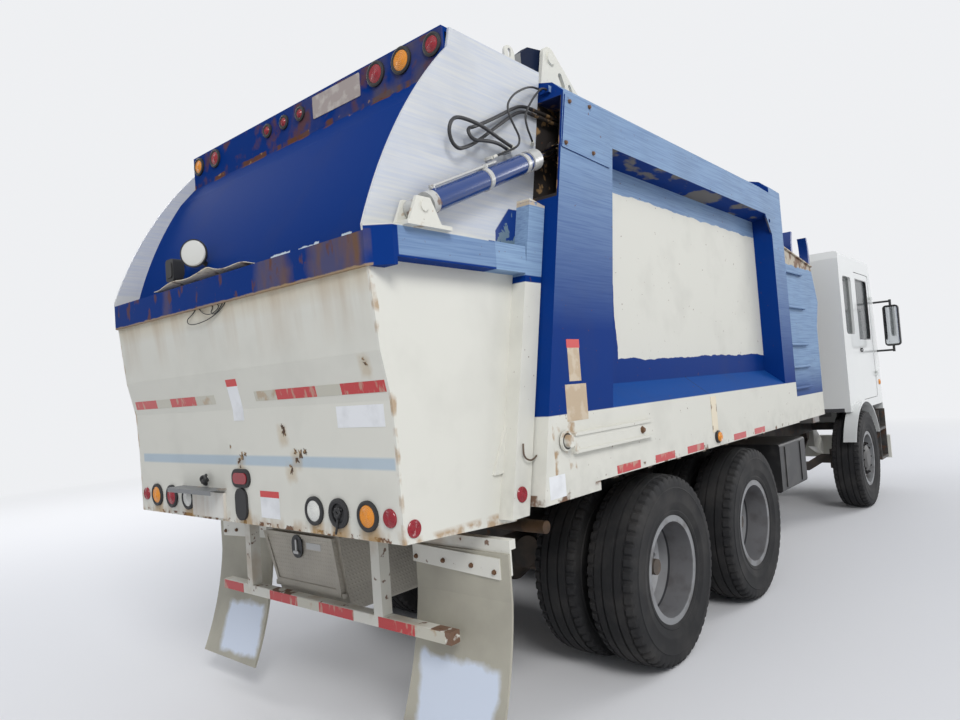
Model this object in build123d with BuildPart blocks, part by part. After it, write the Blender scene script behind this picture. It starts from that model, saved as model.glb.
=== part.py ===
"""Automated side-loading garbage truck, millimetres.

+X points forward, +Y to the left, +Z up. The origin is on the ground, under
the middle of the truck. Each named piece is its own solid and its own file.
"""

import os
from math import hypot, pi, radians, tan

from build123d import *

os.makedirs("parts", exist_ok=True)

# Lengths that make up the truck, from its tail to its bumper
gate_depth = 861
body_length = 3299
front_frame_depth = 280
hopper_length = 1680
cab_gap = 400
cab_length = 1660
bumper_proud = 60
lengths = (gate_depth, body_length, front_frame_depth, hopper_length, cab_gap, cab_length, bumper_proud)
tail_x = -sum(lengths) / 2
rear_edge_x = tail_x + gate_depth
front_frame_x = rear_edge_x + body_length
hopper_back_x = front_frame_x + front_frame_depth
hopper_front_x = hopper_back_x + hopper_length
cab_back_x = hopper_front_x + cab_gap
cab_front_x = cab_back_x + cab_length
nose_x = cab_front_x + bumper_proud
body_width = 2440
half_width = body_width / 2

# Running gear
rear_overhang = 1990
axle_spacing = 1320
front_overhang = 1320
rear_axle_x = tail_x + rear_overhang
drive_axle_x = rear_axle_x + axle_spacing
bogie_x = rear_axle_x + axle_spacing / 2
steer_axle_x = nose_x - front_overhang
tyre_radius = 525
tyre_width = 280
bead_radius = 285
dual_spacing = 340
outer_tyre_y = half_width - 5 - tyre_width / 2
inner_tyre_y = outer_tyre_y - dual_spacing
hub_radius = 140
disc_plate = 14
axle_tube_radius = 65
hub_seat_radius = 45
kingpin_inset = 225
kingpin_y = outer_tyre_y - kingpin_inset
kingpin_radius = 22
spindle_radius = 40
pin_clearance = 0.1
pad_gap = 0.3

# Ladder frame
rail_outer_y = 430
rail_flange = 90
rail_web = 10
rail_top = 1010
rail_depth = 250
rail_low = rail_top - rail_depth
rail_back_x = tail_x + 1080
rail_front_x = cab_front_x - 260
guard_x = tail_x + 470
flap_x = tail_x + 610
tow_eye_radius = 21
tow_eye_plate = 25

# Load body
sheet = 30
floor_bottom = rail_top + 120
floor_top = floor_bottom + sheet
body_inner_y = half_width - 180
panel_y = half_width - 150
sill_top = 1465
sill_rise = 115
rail_band_low = 2800
rail_band_high = 3010
roof_top = 3120
roof_corner_z = 3075
rear_lean = 0.21
rear_foot_z = 1085
post_front_x = rear_edge_x + 559
post_foot_x = post_front_x - 170
front_lean = 0.151
front_frame_top = 3050
running_gap = 10

# Hopper and packer
hopper_wall_y = half_width - 30
hopper_plate = 15
hopper_top = 2620
hopper_drop = 110
hopper_head_z = 2950
recess_x = hopper_back_x + 900
trough_y = 800
trough_floor = floor_bottom + 100
trough_plate = 12
recess_top = 2150
packer_gap = 20

# Tailgate
gate_half = half_width - 144
gate_plate = 12
gate_skin = 20
gate_top = 3151
gate_bottom = 1060
hinge_x = rear_edge_x + 499
hinge_z = 3280
hinge_pin_radius = 30
hinge_arm_y = gate_half - 76
hinge_arm_half = 20
band_low = 2080
band_high = 2210
band_depth = 60
post_width = 74
post_depth = 120
post_top = 2460

# Tailgate lift cylinders
lift_y = gate_half + 59
lift_low = (tail_x + 216, 2306)
lift_high = (hinge_x - 111, 2760)
barrel_radius = 45
barrel_end = 880
lift_rod_radius = 27
lift_pin_radius = 20
hose_diameter = 16
line_diameter = 10

# Cab
cab_half = 1150
cab_wall = 60
cab_floor_z = 1060
cab_floor_plate = 40
cab_sill_z = 1500
cab_roof_z = 2720
cab_roof_plate = 80
screen_rake = 170
header_z = cab_roof_z - 80
tunnel_half = 420
tunnel_wall = 40
tunnel_top = 1460
arch_radius = 620
arch_plate = 12
tilt_x = cab_front_x - 200
tilt_z = 900
tilt_pin_radius = 25
tilt_ear = 50
door_front_x = cab_front_x - 260
door_width = 740
door_back_x = door_front_x - door_width
door_low = 1150
door_high = 2620
door_gap = 5
door_plate = 45
door_axis_proud = 15
window_low = 1850
window_high = 2540

# Lifting arm
boom_x = hopper_front_x - 400
boom_half = 130
boom_wall = 15
boom_low = rail_top
boom_high = 1212
slide_gap = 5
arm_y = -960
arm_pivot_z = 1330
arm_half = 70
arm_top = 2250
finger_pin_z = 2400
finger_pin_x = 150
finger_pin_radius = 22

SIDES = (("right", -1), ("left", 1))


def block(x, y, z, mode=Mode.ADD):
    """Plain block between two corners, given as (low, high) pairs."""
    middle = ((x[0] + x[1]) / 2, (y[0] + y[1]) / 2, (z[0] + z[1]) / 2)
    with Locations(middle):
        Box(abs(x[1] - x[0]), abs(y[1] - y[0]), abs(z[1] - z[0]), mode=mode)


def side_slab(points, y, corner=0, mode=Mode.ADD):
    """Outline of (x, z) points with rounded corners, as thick as the (low, high) pair y."""
    low, high = sorted(y)
    with BuildSketch(Plane.XZ.offset(-high)) as outline:
        with BuildLine():
            Polyline(*points, close=True)
        make_face()
        if corner:
            fillet(outline.vertices(), corner)
    extrude(outline.sketch, amount=high - low, mode=mode)


def cross_slab(points, x, corner=0, mode=Mode.ADD):
    """Outline of (y, z) points with rounded corners, as long as the (low, high) pair x."""
    low, high = sorted(x)
    with BuildSketch(Plane.YZ.offset(low)) as outline:
        with BuildLine():
            Polyline(*points, close=True)
        make_face()
        if corner:
            fillet(outline.vertices(), corner)
    extrude(outline.sketch, amount=high - low, mode=mode)


def window(middle, size, y, corner, mode=Mode.SUBTRACT):
    """Rounded rectangle about an (x, z) middle, as thick as the (low, high) pair y."""
    low, high = sorted(y)
    with BuildSketch(Plane.XZ.offset(-high)) as outline:
        with Locations(middle):
            RectangleRounded(*size, corner)
    extrude(outline.sketch, amount=high - low, mode=mode)


def rod(start, end, radius, mode=Mode.ADD):
    """Round bar from one centre to another."""
    line = Vector(*end) - Vector(*start)
    with BuildSketch(Plane(origin=start, z_dir=line)) as section:
        Circle(radius)
    extrude(section.sketch, amount=line.length, mode=mode)


def turned(centre, points, mode=Mode.ADD):
    """Turned piece about a line along Y, from (offset along Y, radius) points."""
    with BuildSketch(Plane(origin=centre, x_dir=(0, 1, 0), z_dir=(1, 0, 0))) as profile:
        with BuildLine():
            Polyline(*points, close=True)
        make_face()
    revolve(profile.sketch, axis=Axis(centre, (0, 1, 0)), mode=mode)


def lens(middle, half_span, sag, thickness, y):
    """Leaf spring pack: two arcs between its eyes, the lower one deeper, as wide as y."""
    low, high = sorted(y)
    x, z = middle
    with BuildSketch(Plane.XZ.offset(-high)) as outline:
        with BuildLine():
            ThreePointArc((x - half_span, z), (x, z - sag), (x + half_span, z))
            Line((x + half_span, z), (x + half_span, z - 20))
            ThreePointArc((x + half_span, z - 20), (x, z - sag - thickness), (x - half_span, z - 20))
            Line((x - half_span, z - 20), (x - half_span, z))
        make_face()
    extrude(outline.sketch, amount=high - low)


def both(values):
    """A (low, high) pair on the right side and the same pair on the left."""
    low, high = values
    return ((-high, -low), (low, high))


def finish(piece, name):
    """Label a finished piece and write its file."""
    piece.part.label = name
    export_step(piece.part, f"parts/{name}.step")


# Frame rails: two channels, the crossmembers between them, tow eyes and the cab's steps
spring_half = 560
radiator_x = (rail_front_x - 105, rail_front_x - 25)
cross_x = (
    rail_back_x + 60,
    rear_axle_x - 330,
    bogie_x,
    drive_axle_x + 500,
    hopper_back_x + 780,
    cab_back_x - 200,
    radiator_x[0] - 40,
)
step_x = (steer_axle_x + 660, steer_axle_x + 1020)
step_y = (750, cab_half + 50)
step_plate = 12
tow_rear_x = rail_back_x + 30
tow_rear_z = rail_low - 25
with BuildPart() as frame_rails:
    for low, high in both((rail_outer_y - rail_flange, rail_outer_y)):
        block((rail_back_x, rail_front_x), (low, high), (rail_low, rail_top))
    for low, high in both((0, rail_outer_y - rail_web)):
        block(
            (rail_back_x, rail_front_x),
            (low, high),
            (rail_low + rail_web, rail_top - rail_web),
            mode=Mode.SUBTRACT,
        )
    for x in cross_x:
        inner = (rail_web - rail_outer_y, rail_outer_y - rail_web)
        block((x - 40, x + 40), inner, (rail_low + 40, rail_top - 40))
        block(
            (x - 40 + rail_web, x + 40),
            inner,
            (rail_low + 40 + rail_web, rail_top - 40 - rail_web),
            mode=Mode.SUBTRACT,
        )
    for low, high in both((rail_outer_y - rail_flange, rail_outer_y)):
        for near, far in ((low, low + 30), (high - 30, high)):
            block((rail_front_x - 60, tilt_x), (near, far), (tilt_z - 60, tilt_z + 50))
            rod((tilt_x, near, tilt_z - 5), (tilt_x, far, tilt_z - 5), 55)
        rod((tilt_x, low, tilt_z), (tilt_x, high, tilt_z), tilt_pin_radius)
    for low, high in both((rail_outer_y, rail_outer_y + tow_eye_plate)):
        window((tow_rear_x + 70, tow_rear_z + 75), (200, 210), (low, high), 40, mode=Mode.ADD)
        rod(
            (tow_rear_x, low, tow_rear_z),
            (tow_rear_x, high, tow_rear_z),
            tow_eye_radius,
            mode=Mode.SUBTRACT,
        )
    for low, high in both(step_y):
        for z in (420, 760):
            block(step_x, (low, high), (z, z + 30))
        for x in (step_x[0], step_x[1] - step_plate):
            block((x, x + step_plate), (low, high), (420, 1000))
    for low, high in both((rail_outer_y + pad_gap, step_y[0] + 50)):
        block((step_x[0] + 100, step_x[1] - 100), (low, high), (770, 850))
finish(frame_rails, "frame_rails")

# Front bumper with its fog lamp holes, on two drop plates that carry the front tow eyes
bumper_low = 380
bumper_top = 660
bumper_depth = 120
tow_front_x = nose_x - 60
tow_front_z = bumper_low - 25
with BuildPart() as front_bumper:
    side_slab(
        (
            (nose_x - bumper_depth, bumper_low),
            (nose_x - 20, bumper_low),
            (nose_x, bumper_low + 40),
            (nose_x, bumper_top - 40),
            (nose_x - 30, bumper_top),
            (nose_x - bumper_depth, bumper_top),
        ),
        (-half_width + 20, half_width - 20),
        corner=8,
    )
    for side in (-1, 1):
        with BuildSketch(Plane.XY.offset(bumper_low)) as end_cut:
            with BuildLine():
                Polyline(
                    (nose_x + 5, side * (half_width - 190)),
                    (nose_x + 5, side * half_width),
                    (nose_x - bumper_depth + 30, side * half_width),
                    (nose_x - bumper_depth + 30, side * (half_width - 20)),
                    close=True,
                )
            make_face()
        extrude(end_cut.sketch, amount=bumper_top - bumper_low, mode=Mode.SUBTRACT)
        lamp_y = side * (half_width - 400)
        rod((nose_x + 1, lamp_y, 520), (nose_x - 45, lamp_y, 520), 62, mode=Mode.SUBTRACT)
        rod((nose_x - 46, lamp_y, 520), (nose_x - 20, lamp_y, 520), 55)
    for low, high in both((rail_outer_y - 80, rail_outer_y)):
        side_slab(
            (
                (rail_front_x - 200, rail_low),
                (rail_front_x - 200, rail_low - 200),
                (nose_x - bumper_depth, bumper_low + 40),
                (nose_x - bumper_depth, bumper_low + 200),
                (rail_front_x - 60, rail_low),
            ),
            (low, high),
        )
    for low, high in both((rail_outer_y - 80, rail_outer_y - 80 + tow_eye_plate)):
        window((tow_front_x - 45, tow_front_z + 10), (180, 100), (low, high), 40, mode=Mode.ADD)
        rod(
            (tow_front_x, low, tow_front_z),
            (tow_front_x, high, tow_front_z),
            tow_eye_radius,
            mode=Mode.SUBTRACT,
        )
finish(front_bumper, "front_bumper")

# Drive axles, their walking beams, brake chambers and shafts
hub_seat_y = outer_tyre_y + 20
beam_y = (rail_outer_y + 20, rail_outer_y + 120)
shaft_radius = 50


def banjo(x):
    """Drive axle: tube, round differential case, nose, hub seats and brake chambers."""
    centre = (x, 0, tyre_radius)
    reach_y = inner_tyre_y - tyre_width / 2 - 40
    turned(
        centre,
        (
            (-hub_seat_y, 0),
            (-hub_seat_y, hub_seat_radius),
            (-reach_y, hub_seat_radius),
            (-reach_y, axle_tube_radius),
            (-230, axle_tube_radius + 10),
            (-90, 190),
            (90, 190),
            (230, axle_tube_radius + 10),
            (reach_y, axle_tube_radius),
            (reach_y, hub_seat_radius),
            (hub_seat_y, hub_seat_radius),
            (hub_seat_y, 0),
        ),
    )
    rod((x, 0, tyre_radius + 20), (x + 210, 0, tyre_radius + 50), 110)
    for side in (-1, 1):
        rod((x - 60, side * 330, tyre_radius), (x - 210, side * 330, tyre_radius + 60), 95)


beam_low = tyre_radius - 55
beam_high = tyre_radius + 35
spring_y = (rail_outer_y - 80, rail_outer_y)
knuckle_face = 45
# Axles: the drive axles with their beams and shafts, and the front axle, a dropped beam
# under two leaf springs with the kingpins at its ends
with BuildPart() as axles:
    for x in (rear_axle_x, drive_axle_x):
        banjo(x)
    rod((rear_axle_x + 150, 0, 560), (drive_axle_x - 150, 0, 600), shaft_radius)
    rod((drive_axle_x + 150, 0, 600), (cab_back_x + 160, 0, 760), shaft_radius)
    for low, high in both(beam_y):
        side_slab(
            (
                (rear_axle_x - 90, 440),
                (rear_axle_x - 90, 600),
                (bogie_x - 160, 690),
                (bogie_x + 160, 690),
                (drive_axle_x + 90, 600),
                (drive_axle_x + 90, 440),
                (bogie_x + 120, 520),
                (bogie_x - 120, 520),
            ),
            (low, high),
            corner=30,
        )
    for side in (-1, 1):
        side_slab(
            (
                (bogie_x - 260, rail_low),
                (bogie_x - 120, 600),
                (bogie_x + 120, 600),
                (bogie_x + 260, rail_low),
            ),
            (side * (rail_outer_y - 60), side * beam_y[0]),
        )
        rod((bogie_x, side * beam_y[0], 605), (bogie_x, side * (beam_y[1] + 25), 605), 60)
    cross_slab(
        (
            (10 - kingpin_y, beam_low),
            (10 - kingpin_y, beam_high),
            (-kingpin_y + 150, beam_high),
            (-kingpin_y + 290, beam_low),
            (kingpin_y - 290, beam_low),
            (kingpin_y - 150, beam_high),
            (kingpin_y - 10, beam_high),
            (kingpin_y - 10, beam_low),
            (kingpin_y - 130, beam_low),
            (kingpin_y - 270, beam_low - 90),
            (270 - kingpin_y, beam_low - 90),
            (130 - kingpin_y, beam_low),
        ),
        (steer_axle_x - 50, steer_axle_x + 50),
    )
    for side in (-1, 1):
        with Locations((steer_axle_x, side * kingpin_y, (beam_low + beam_high) / 2)):
            Cylinder(knuckle_face - 5, beam_high - beam_low)
            Cylinder(kingpin_radius, 210)
        spring = (side * spring_y[0], side * spring_y[1])
        lens((steer_axle_x, rail_low - 60), spring_half, 150, 70, spring)
        block((steer_axle_x - 70, steer_axle_x + 70), spring, (beam_low - 10, rail_low - 200))
        for end in (-1, 1):
            side_slab(
                (
                    (steer_axle_x + end * (spring_half - 70), rail_low),
                    (steer_axle_x + end * (spring_half - 30), rail_low - 90),
                    (steer_axle_x + end * (spring_half + 30), rail_low - 90),
                    (steer_axle_x + end * (spring_half + 70), rail_low),
                ),
                spring,
            )
finish(axles, "axles")

# Steering knuckles: two eyes above and below the axle's end, and the spindle
eye_rows = ((beam_low - 60, beam_low - 5), (beam_high + 5, beam_high + 60))
for name, side in SIDES:
    face_y = side * (kingpin_y + knuckle_face)
    with BuildPart() as knuckle:
        for low, high in eye_rows:
            with Locations((steer_axle_x, side * kingpin_y, (low + high) / 2)):
                Cylinder(48, high - low)
                Cylinder(kingpin_radius + pin_clearance, high - low, mode=Mode.SUBTRACT)
            block((steer_axle_x - 40, steer_axle_x + 40), (side * (kingpin_y + 25), face_y), (low, high))
        block(
            (steer_axle_x - 60, steer_axle_x + 60),
            (face_y, face_y + side * 35),
            (eye_rows[0][0], eye_rows[1][1]),
        )
        rod(
            (steer_axle_x, face_y, tyre_radius),
            (steer_axle_x, side * hub_seat_y, tyre_radius),
            spindle_radius,
        )
    finish(knuckle, f"knuckle_{name}")


# Tyres and rims
bead_share = 0.74
rim_half = tyre_width / 2 * bead_share + 14
barrel_inner = bead_radius - 25


def tyre(centre):
    """Tyre: crowned tread, bulged side walls and the bead on the rim."""
    half = tyre_width / 2
    turned(
        centre,
        (
            (-half * bead_share, bead_radius),
            (-half * 0.93, bead_radius + 60),
            (-half, tyre_radius - 110),
            (-half * 0.9, tyre_radius - 25),
            (-half * 0.72, tyre_radius - 6),
            (0, tyre_radius),
            (half * 0.72, tyre_radius - 6),
            (half * 0.9, tyre_radius - 25),
            (half, tyre_radius - 110),
            (half * 0.93, bead_radius + 60),
            (half * bead_share, bead_radius),
        ),
    )


def rim(centre, side, disc, rise, hub_out, holes):
    """Rim: barrel with turned-up flanges, dished disc with hand holes, and stepped hub."""
    seat = bead_radius - pad_gap
    turned(
        centre,
        (
            (-rim_half, barrel_inner),
            (-rim_half, bead_radius + 16),
            (5 - rim_half, bead_radius + 16),
            (12 - rim_half, seat),
            (rim_half - 12, seat),
            (rim_half - 5, bead_radius + 16),
            (rim_half, bead_radius + 16),
            (rim_half, barrel_inner),
        ),
    )
    turned(
        centre,
        (
            (side * disc, 0),
            (side * disc, 185),
            (side * rise, barrel_inner + 2),
            (side * (rise + disc_plate), barrel_inner + 2),
            (side * (disc + disc_plate), 189),
            (side * (disc + disc_plate), 0),
        ),
    )
    if holes:
        with BuildSketch(Plane.XZ.offset(-centre[1])) as hand_holes:
            with Locations((centre[0], centre[2])):
                with PolarLocations(222, holes):
                    Circle(20)
        extrude(hand_holes.sketch, amount=150, both=True, mode=Mode.SUBTRACT)
    turned(
        centre,
        (
            (side * (disc - 60), 0),
            (side * (disc - 60), hub_radius),
            (side * (disc + 40), hub_radius),
            (side * (disc + hub_out), hub_radius - 45),
            (side * (disc + hub_out), 0),
        ),
    )


for name, side in SIDES:
    centre = (steer_axle_x, side * outer_tyre_y, tyre_radius)
    with BuildPart() as front_tyre:
        tyre(centre)
    finish(front_tyre, f"tyre_front_{name}")
    with BuildPart() as front_rim:
        rim(centre, side, 60, 20, 60, 5)
        rod(
            (steer_axle_x, side * (kingpin_y + knuckle_face), tyre_radius),
            (steer_axle_x, side * (hub_seat_y + 5), tyre_radius),
            spindle_radius + pin_clearance,
            mode=Mode.SUBTRACT,
        )
    finish(front_rim, f"rim_front_{name}")

for axle, axle_x in (("mid", drive_axle_x), ("rear", rear_axle_x)):
    for name, side in SIDES:
        outer = (axle_x, side * outer_tyre_y, tyre_radius)
        inner = (axle_x, side * inner_tyre_y, tyre_radius)
        with BuildPart() as dual_tyres:
            tyre(outer)
            tyre(inner)
        finish(dual_tyres, f"tyres_{axle}_{name}")
        disc_y = dual_spacing / 2
        with BuildPart() as dual_rims:
            rim(outer, side, -disc_y, -110, 120, 5)
            rim(inner, side, disc_y - disc_plate, 96, 20, 0)
            turned(
                inner,
                (
                    (-side * 110, 60),
                    (-side * 110, 205),
                    (side * 120, 205),
                    (side * 120, 60),
                ),
            )
            rod(
                (axle_x, side * (inner_tyre_y - 160), tyre_radius),
                (axle_x, side * (hub_seat_y + 5), tyre_radius),
                hub_seat_radius + pin_clearance,
                mode=Mode.SUBTRACT,
            )
        finish(dual_rims, f"rims_{axle}_{name}")

# Engine and gearbox block, with the radiator before it
engine_half = rail_outer_y - 100
with BuildPart() as engine_block:
    block((cab_back_x + 200, radiator_x[0] - 95), (-engine_half, engine_half), (620, 1400))
    block(radiator_x, (-engine_half, engine_half), (600, rail_top - 10))
    for x in (cab_back_x + 300, radiator_x[0] - 295):
        for low, high in both((engine_half, rail_outer_y - rail_web)):
            block((x, x + 100), (low, high), (860, 900))
finish(engine_block, "engine_block")

# Tanks and boxes along the rails
tank_y = 790
tank_z = 700
tank_radius = 290
tank_x = (drive_axle_x + 1760, drive_axle_x + 2660)
reservoir_x = (hopper_front_x + 60, hopper_front_x + 300)
with BuildPart() as tanks:
    rod((tank_x[0], tank_y, tank_z), (tank_x[1], tank_y, tank_z), tank_radius)
    fillet(tanks.edges(), 35)
    for x in (tank_x[0] + 150, tank_x[1] - 210):
        rod((x, tank_y, tank_z), (x + 60, tank_y, tank_z), tank_radius + 8)
        block((x, x + 60), (rail_outer_y, tank_y - 230), (820, 960))
    rod((tank_x[1] - 100, tank_y, tank_z + 270), (tank_x[1] - 100, tank_y, tank_z + 310), 45)
    with BuildSketch(Plane.XY.offset(rail_top + 100)) as reservoir:
        with Locations(((reservoir_x[0] + reservoir_x[1]) / 2, 750)):
            RectangleRounded(reservoir_x[1] - reservoir_x[0], 540, 40)
    extrude(reservoir.sketch, amount=790)
    block((reservoir_x[0] + 40, reservoir_x[1] - 40), (rail_outer_y - 60, 600), (rail_top, rail_top + 102))
    rod((reservoir_x[0] + 120, 620, 1898), (reservoir_x[0] + 120, 620, 1940), 50)
finish(tanks, "tanks")

battery_x = (drive_axle_x + 1010, drive_axle_x + 1710)
battery_y = (-1080, -480)
battery_z = (560, 960)
with BuildPart() as battery_box:
    block(battery_x, battery_y, battery_z)
    fillet(battery_box.edges().filter_by(Axis.X), 25)
    for x in (battery_x[0] + 120, battery_x[1] - 160):
        block((x, x + 40), (battery_y[0] - 8, battery_y[1]), (battery_z[0] + 30, battery_z[1] - 30))
    block((battery_x[0] + 50, battery_x[1] - 50), (battery_y[1], -rail_outer_y), (800, 920))
finish(battery_box, "battery_box")


stack_x = hopper_front_x + 200
stack_y = 250
with BuildPart() as exhaust_stack:
    rod((stack_x, stack_y, 1100), (stack_x, stack_y, 1900), 110)
    fillet(exhaust_stack.edges(), 30)
    rod((stack_x, stack_y, 1880), (stack_x, stack_y, 2830), 65)
    elbow = (stack_x, stack_y, 2830)
    with Locations(elbow):
        Sphere(65)
    rod(elbow, (stack_x - 105, stack_y, 2900), 65)
    block((stack_x - 40, stack_x + 40), (stack_y - 60, rail_outer_y - 95), (rail_top - 40, 1120))
finish(exhaust_stack, "exhaust_stack")

# Underride guard on its two posts and arms, with the flaps' brackets and the outriggers
guard_half = half_width - 310
guard_arm_y = (rail_outer_y, rail_outer_y + 60)
guard_top = 600
arm_z = (920, 975)
guard_posts = ((-guard_arm_y[1], -guard_arm_y[0]), (600, 650))
flap_y = (600, 1150)
outrigger_x = rear_edge_x + 129
with BuildPart() as underride_guard:
    block((guard_x, guard_x + 60), (-guard_half, guard_half), (guard_top - 55, guard_top))
    fillet(underride_guard.edges().filter_by(Axis.Y), 6)
    for low, high in both(guard_arm_y):
        block((guard_x, rail_back_x + 120), (low, high), arm_z)
    for low, high in guard_posts:
        block((guard_x, guard_x + 60), (low, high), (guard_top - 10, arm_z[0]))
        block((guard_x, flap_x + 40), (low, high), arm_z)
    for low, high in both((guard_arm_y[1], flap_y[1])):
        block((flap_x, flap_x + 40), (low, high), (arm_z[0] + 15, arm_z[1]))
    for low, high in both(flap_y):
        block((flap_x, flap_x + 10), (low, high), (arm_z[0] - 90, arm_z[0] + 20))
    for side in (-1, 1):
        rod(
            (outrigger_x, side * (guard_arm_y[1] - 5), (arm_z[0] + arm_z[1]) / 2),
            (outrigger_x, side * (half_width - 150), (arm_z[0] + arm_z[1]) / 2),
            30,
        )
finish(underride_guard, "underride_guard")

flap_top = arm_z[0] - pad_gap
flap_plate = 12
front_line = ((flap_x, 720), (flap_x - 48, 440), (flap_x - 150, 150))
rear_line = tuple((x - flap_plate, z + 2) for x, z in front_line[::-1])
with BuildPart() as mud_flaps:
    for low, high in both(flap_y):
        with BuildSketch(Plane.XZ.offset(-high)) as flap:
            with BuildLine():
                Line((flap_x, flap_top), front_line[0])
                ThreePointArc(*front_line)
                Line(front_line[-1], rear_line[0])
                ThreePointArc(*rear_line)
                Polyline(rear_line[-1], (flap_x - flap_plate, flap_top), (flap_x, flap_top))
            make_face()
        extrude(flap.sketch, amount=high - low)
finish(mud_flaps, "mud_flaps")

# Toolbox between the rail's end and the guard, and its door, hinged along its foot
toolbox_x = guard_x + 62
lid_plate = 29
box_low = 540
box_high = 915
box_foot_y = (-150, 440)
box_top_y = (-80, 590)
lid_inset = 24
lid_axis = (toolbox_x + lid_plate / 2, guard_top + 22)
lid_foot_y = (box_foot_y[0] + 40, box_foot_y[1] + 10)
lid_top_y = (box_top_y[0] + lid_inset, box_top_y[1] - lid_inset)
hinge_rod_radius = 6
hinge_ear = 14
with BuildPart() as toolbox:
    cross_slab(
        (
            (box_foot_y[0], box_low),
            (box_foot_y[1], box_low),
            (box_top_y[1], box_high),
            (box_top_y[0], box_high),
        ),
        (toolbox_x + lid_plate + pad_gap, rail_back_x),
        corner=12,
    )
    ears = (
        (lid_foot_y[0] - hinge_ear - 2, lid_foot_y[0] - 2),
        (lid_foot_y[1] + 2, lid_foot_y[1] + hinge_ear + 2),
    )
    for ear in ears:
        block(
            (toolbox_x + 4, toolbox_x + lid_plate + 1),
            ear,
            (lid_axis[1] - 12, lid_axis[1] + 12),
        )
    rod((lid_axis[0], ears[0][0], lid_axis[1]), (lid_axis[0], ears[1][1], lid_axis[1]), hinge_rod_radius)
finish(toolbox, "toolbox")

with BuildPart() as toolbox_door:
    cross_slab(
        (
            (lid_foot_y[0], lid_axis[1]),
            (lid_foot_y[1], lid_axis[1]),
            (lid_foot_y[1], lid_axis[1] + 26),
            (lid_top_y[1], box_high - lid_inset / 2),
            (lid_top_y[0], box_high - lid_inset / 2),
            (lid_foot_y[0], lid_axis[1] + 26),
        ),
        (toolbox_x, toolbox_x + lid_plate),
    )
    cross_slab(
        (
            (lid_foot_y[0] + 30, lid_axis[1] + 30),
            (lid_foot_y[1] - 20, lid_axis[1] + 30),
            (lid_top_y[1] - 34, box_high - lid_inset / 2 - 22),
            (lid_top_y[0] + 24, box_high - lid_inset / 2 - 22),
        ),
        (toolbox_x, toolbox_x + 6),
        corner=12,
        mode=Mode.SUBTRACT,
    )
    rod((lid_axis[0], lid_foot_y[0], lid_axis[1]), (lid_axis[0], lid_foot_y[1], lid_axis[1]), lid_plate / 2)
    rod(
        (lid_axis[0], lid_foot_y[0], lid_axis[1]),
        (lid_axis[0], lid_foot_y[1], lid_axis[1]),
        hinge_rod_radius + pin_clearance,
        mode=Mode.SUBTRACT,
    )
    with BuildSketch(Plane.YZ.offset(toolbox_x + 1)) as latch_plate:
        with Locations((lid_top_y[1] - 306, box_high - 75)):
            Ellipse(60, 34)
            Rectangle(50, 30, mode=Mode.SUBTRACT)
    extrude(latch_plate.sketch, amount=10)
finish(toolbox_door, "toolbox_door")


# Load body
def rear_edge(z):
    """X of the body's leaning rear face at a height."""
    return rear_edge_x + rear_lean * (z - sill_top)


def post_front(z):
    """X of the rear post's leaning front edge at a height."""
    return post_front_x + front_lean * (z - sill_top)


under_front_x = boom_x - boom_half - 30
rib_depth = 60
rib_half = 25
rib_count = 8
with BuildPart() as body_floor:
    block((post_foot_x, front_frame_x), (-body_inner_y, body_inner_y), (floor_bottom, floor_top))
    for low, high in both((rail_outer_y - rail_flange, rail_outer_y)):
        block((rear_edge_x + 400, under_front_x), (low, high), (rail_top, floor_bottom))
    for number in range(rib_count):
        x = post_foot_x + 60 + number * (front_frame_x - post_foot_x - 120) / (rib_count - 1)
        for low, high in both((rail_outer_y, body_inner_y)):
            block((x - rib_half, x + rib_half), (low, high), (floor_bottom - rib_depth, floor_bottom))
finish(body_floor, "body_floor")

gusset = 130
with BuildPart() as body_sides:
    for side in (-1, 1):
        cross_slab(
            (
                (side * body_inner_y, floor_bottom),
                (side * half_width, floor_bottom),
                (side * half_width, sill_top),
                (side * panel_y, sill_top + sill_rise),
                (side * panel_y, rail_band_low),
                (side * half_width, rail_band_low + 20),
                (side * half_width, rail_band_high),
                (side * body_inner_y, rail_band_high),
            ),
            (post_foot_x, front_frame_x),
        )
        side_slab(
            (
                (post_foot_x - 50, sill_top),
                (post_front(sill_top), sill_top),
                (post_front(roof_top), roof_top),
                (post_foot_x - 50, roof_top),
            ),
            (side * (body_inner_y - 5), side * (half_width + 5)),
            mode=Mode.SUBTRACT,
        )
        plate = (side * (half_width - 12), side * half_width)
        side_slab(
            (
                (front_frame_x - gusset, rail_band_low + 25),
                (front_frame_x, rail_band_low + 25),
                (front_frame_x, rail_band_low - gusset),
            ),
            plate,
        )
        hole = (front_frame_x - 38, rail_band_low - 25)
        rod((hole[0], plate[0], hole[1]), (hole[0], plate[1], hole[1]), 18, mode=Mode.SUBTRACT)
finish(body_sides, "body_sides")

roof_crown_y = half_width - 220
shoulder = ((half_width, rail_band_high), (half_width - 70, roof_corner_z), (roof_crown_y, roof_top))
roof_outline = [(side * y, z) for side, row in ((-1, shoulder), (1, shoulder[::-1])) for y, z in row]
with BuildPart() as body_roof:
    cross_slab(
        roof_outline
        + [
            (body_inner_y, rail_band_high),
            (body_inner_y - 60, roof_top - sheet),
            (60 - body_inner_y, roof_top - sheet),
            (-body_inner_y, rail_band_high),
        ],
        (post_foot_x, front_frame_x),
    )
    side_slab(
        (
            (post_foot_x - 50, sill_top),
            (post_front(sill_top), sill_top),
            (post_front(roof_top + 10), roof_top + 10),
            (post_foot_x - 50, roof_top + 10),
        ),
        (-half_width - 5, half_width + 5),
        mode=Mode.SUBTRACT,
    )
finish(body_roof, "body_roof")

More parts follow.
